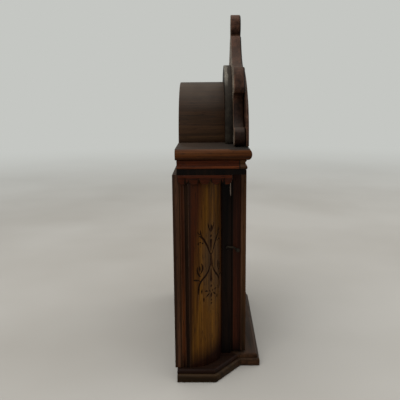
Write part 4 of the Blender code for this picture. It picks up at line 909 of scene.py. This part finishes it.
def ink(name, marks):
    """Joins flat marks into one piece, its place kept in its mesh, as a thin skin of paint on the dial."""
    gather(marks)
    bpy.ops.object.join()
    piece = bpy.context.active_object
    bpy.ops.object.transform_apply(location=True, rotation=True, scale=True)
    piece.name = name
    apply(piece, "SOLIDIFY", thickness=INK, offset=0)
    face_out(piece)
    return seat(paint(piece, DIAL_BLACK), "case", "dial_paint")


def dial_ring(outer, inner):
    """A flat painted ring round the dial's centre."""
    bpy.ops.object.select_all(action="DESELECT")
    bpy.ops.mesh.primitive_circle_add(vertices=120, radius=outer, fill_type="NOTHING",
                                      location=(0, INK_Y, ARCH_Z), rotation=UPRIGHT)
    ring = bpy.context.active_object
    edit(ring, (bpy.ops.mesh.extrude_edges_move, {}),
         (bpy.ops.transform.resize, {"value": (inner / outer,) * 3}))
    return ring


def dial_bar(width, height, lean=0.0, at=(0.0, 0.0)):
    """A flat stroke, its foot at the place given and its head leant sideways."""
    bpy.ops.object.select_all(action="DESELECT")
    bpy.ops.mesh.primitive_plane_add(size=1, location=(at[0], INK_Y, ARCH_Z + at[1] + height / 2),
                                     rotation=UPRIGHT)
    bar = bpy.context.active_object
    bar.scale = (width, height, 1)
    bpy.ops.object.transform_apply(location=False, rotation=True, scale=True)
    for point in bar.data.vertices:
        if point.co.z > 0:
            point.co += Vector((lean, 0, 0))
    return bar


def turned_about_dial(pieces, turn):
    """Turns the pieces clockwise round the dial's centre."""
    gather(pieces)
    bpy.ops.object.transform_apply(location=True, rotation=True, scale=True)
    spin = (Matrix.Translation((0, 0, ARCH_Z)) @ Matrix.Rotation(turn, 4, "Y")
            @ Matrix.Translation((0, 0, -ARCH_Z)))
    for piece in pieces:
        piece.data.transform(spin)
    return pieces


def letter(kind, middle):
    """One Roman letter from its thick and thin strokes and their serifs."""
    reach = LETTER_W[kind] / 2 - LETTER_MARGIN
    strokes = {
        "I": [(THICK, 0, 0)],
        "V": [(THICK, 0, -reach), (THIN, 0, reach)],
        "X": [(THICK, reach, -reach), (THIN, -reach, reach)],
    }[kind]
    bars = [dial_bar(width, NUMERAL_H, head_at - foot_at, (middle + foot_at, NUMERAL_FOOT))
            for width, foot_at, head_at in strokes]
    heads = {round(head_at / MM, 3) for _, _, head_at in strokes}
    feet = {round(foot_at / MM, 3) for _, foot_at, _ in strokes} if kind != "V" else set()
    for spots, up in ((heads, NUMERAL_FOOT + NUMERAL_H - SERIF_H), (feet, NUMERAL_FOOT)):
        bars += [dial_bar(SERIF_W, SERIF_H, 0, (middle + at * MM, up)) for at in spots]
    return bars


def numerals():
    """The twelve hour numerals, standing with their feet to the centre."""
    bars = []
    for hour, word in enumerate(HOURS):
        left = -sum(LETTER_W[kind] for kind in word) / 2
        marks = []
        for kind in word:
            marks += letter(kind, left + LETTER_W[kind] / 2)
            left += LETTER_W[kind]
        bars += turned_about_dial(marks, math.radians(30 * hour))
    return ink("hour_numerals", bars)


def minute_track():
    """Two fine rings with sixty strokes between them, every fifth one bold."""
    marks = [dial_ring(outer, inner) for outer, inner in TRACK_RINGS]
    for minute in range(60):
        width = BOLD_MARK if minute % 5 == 0 else FINE_MARK
        marks += turned_about_dial([dial_bar(width, MARK_H, 0, (0, MARK_FOOT))], math.radians(6 * minute))
    return ink("minute_track", marks)


numerals()
minute_track()

for node, body in (("minute_hand", "minute"), ("hour_hand", "hour")):
    worn(node, body, "blued_steel", 0.18 * MM, BLUED_STEEL, BLUED_STEEL)


# Metal, paint and glass

KEPT = {"brass": BRASS, "steel": STEEL, "blued_steel": BLUED_STEEL, "cast_iron": CAST_IRON,
        "dial_paint": DIAL_PAINT, "glass": GLASS}
DULL = ("latch_hook", "latch_screw", "catch_pin", "hinge_pin_lower", "hinge_pin_upper")

for node, piece in frame["nodes"].items():
    if piece.hide_render:
        continue
    if node in DULL:
        piece.material_slots[0].material = AGED_BRASS
        continue
    for holder in piece.material_slots:
        base = holder.material.name.split(".")[0]
        if base in KEPT:
            holder.material = KEPT[base]
        else:
            print("no finish for", node, base)


# Stage, light and camera

BACKGROUND = "#c5c7c3"
FLOOR_R, FLOOR_DROP = 9.0, 0.2 * MM


def floor_finish():
    """Pale matt paper that runs out into the plain background."""
    material, tree = new_finish("pale_paper_floor")
    place = add(tree, "TexCoord").outputs["Object"]
    reach = add(tree, "VectorMath", [place], operation="LENGTH").outputs["Value"]
    far = add(tree, "MapRange", [reach, 0.5, 3.4], interpolation_type="SMOOTHSTEP")
    mottle = add(tree, "TexNoise", {"Vector": place, "Scale": 1.6, "Detail": 3.0})
    tone = add(tree, "ValToRGB", [mottle], [(0.35, "#a6a29b"), (0.65, "#b2afa9")])
    paper = add(tree, "BsdfPrincipled", {"Base Color": tone, "Roughness": 0.9, "Specular IOR Level": 0.1})
    glow = add(tree, "Emission", {"Color": linear(BACKGROUND), "Strength": 1.0})
    close_finish(tree, add(tree, "MixShader", [far, paper, glow]))
    return material


bpy.ops.mesh.primitive_circle_add(vertices=96, radius=FLOOR_R, fill_type="NGON",
                                  location=(0, 0, -FLOOR_DROP))
floor = bpy.context.active_object
floor.name = "pale_floor"
paint(floor, floor_finish())


def studio_world():
    """Even soft light from all round, with a plain pale background."""
    world = bpy.data.worlds.new("soft_studio")
    world.use_nodes = True
    tree = world.node_tree
    tree.nodes.clear()
    path = add(tree, "LightPath").outputs
    seen = add(tree, "Math", [path["Is Camera Ray"], path["Is Glossy Ray"]], operation="MAXIMUM")
    seen = add(tree, "Math", [seen, path["Is Transmission Ray"]], operation="MAXIMUM")
    soft = add(tree, "Background", {"Color": linear("#f4f4f2"), "Strength": 0.80})
    plain = add(tree, "Background", {"Color": linear(BACKGROUND), "Strength": 1.0})
    add(tree, "OutputWorld", {"Surface": add(tree, "MixShader", [seen, soft, plain])})
    bpy.context.scene.world = world


def softbox(name, at, toward, size, power):
    """A square area lamp that points at a spot."""
    data = bpy.data.lights.new(name, "AREA")
    data.size = size
    data.energy = power
    lamp = bpy.data.objects.new(name, data)
    lamp.location = at
    lamp.rotation_mode = "QUATERNION"
    lamp.rotation_quaternion = (Vector(toward) - Vector(at)).to_track_quat("-Z", "Y")
    bpy.context.scene.collection.objects.link(lamp)


studio_world()
softbox("overhead_softbox", (-0.25, 0.25, 1.9), (0, 0, 0.3), 1.4, 14)
softbox("side_softbox", (-1.6, 0.9, 1.3), (0, 0, 0.25), 1.0, 9)
softbox("front_softbox", (1.1, -1.7, 1.2), (0, 0, 0.25), 1.0, 7)

FOCAL_PIXELS, PHOTO_PIXELS, SENSOR = 551.8, 400, 36
PITCH, YAW, ROLL = math.radians(11.2), math.radians(1.1), math.radians(-0.5)
EYE = (-0.925, 0.0111, 0.4166)


def photo_camera():
    """The camera at the photograph's angle, looking along +X at the clock's side."""
    data = bpy.data.cameras.new("photo_view")
    data.sensor_width = SENSOR
    data.lens = FOCAL_PIXELS * SENSOR / PHOTO_PIXELS
    camera = bpy.data.objects.new("photo_view", data)
    bpy.context.scene.collection.objects.link(camera)
    look = Vector((math.cos(PITCH) * math.cos(YAW), math.cos(PITCH) * math.sin(YAW), -math.sin(PITCH)))
    right = look.cross(Vector((0, 0, 1))).normalized()
    up = right.cross(look)
    tilted_right = right * math.cos(ROLL) + up * math.sin(ROLL)
    tilted_up = up * math.cos(ROLL) - right * math.sin(ROLL)
    turn = Matrix((tilted_right, tilted_up, -look)).transposed()
    camera.matrix_world = Matrix.Translation(EYE) @ turn.to_4x4()
    bpy.context.scene.camera = camera


photo_camera()
bpy.context.scene.view_settings.view_transform = "Standard"
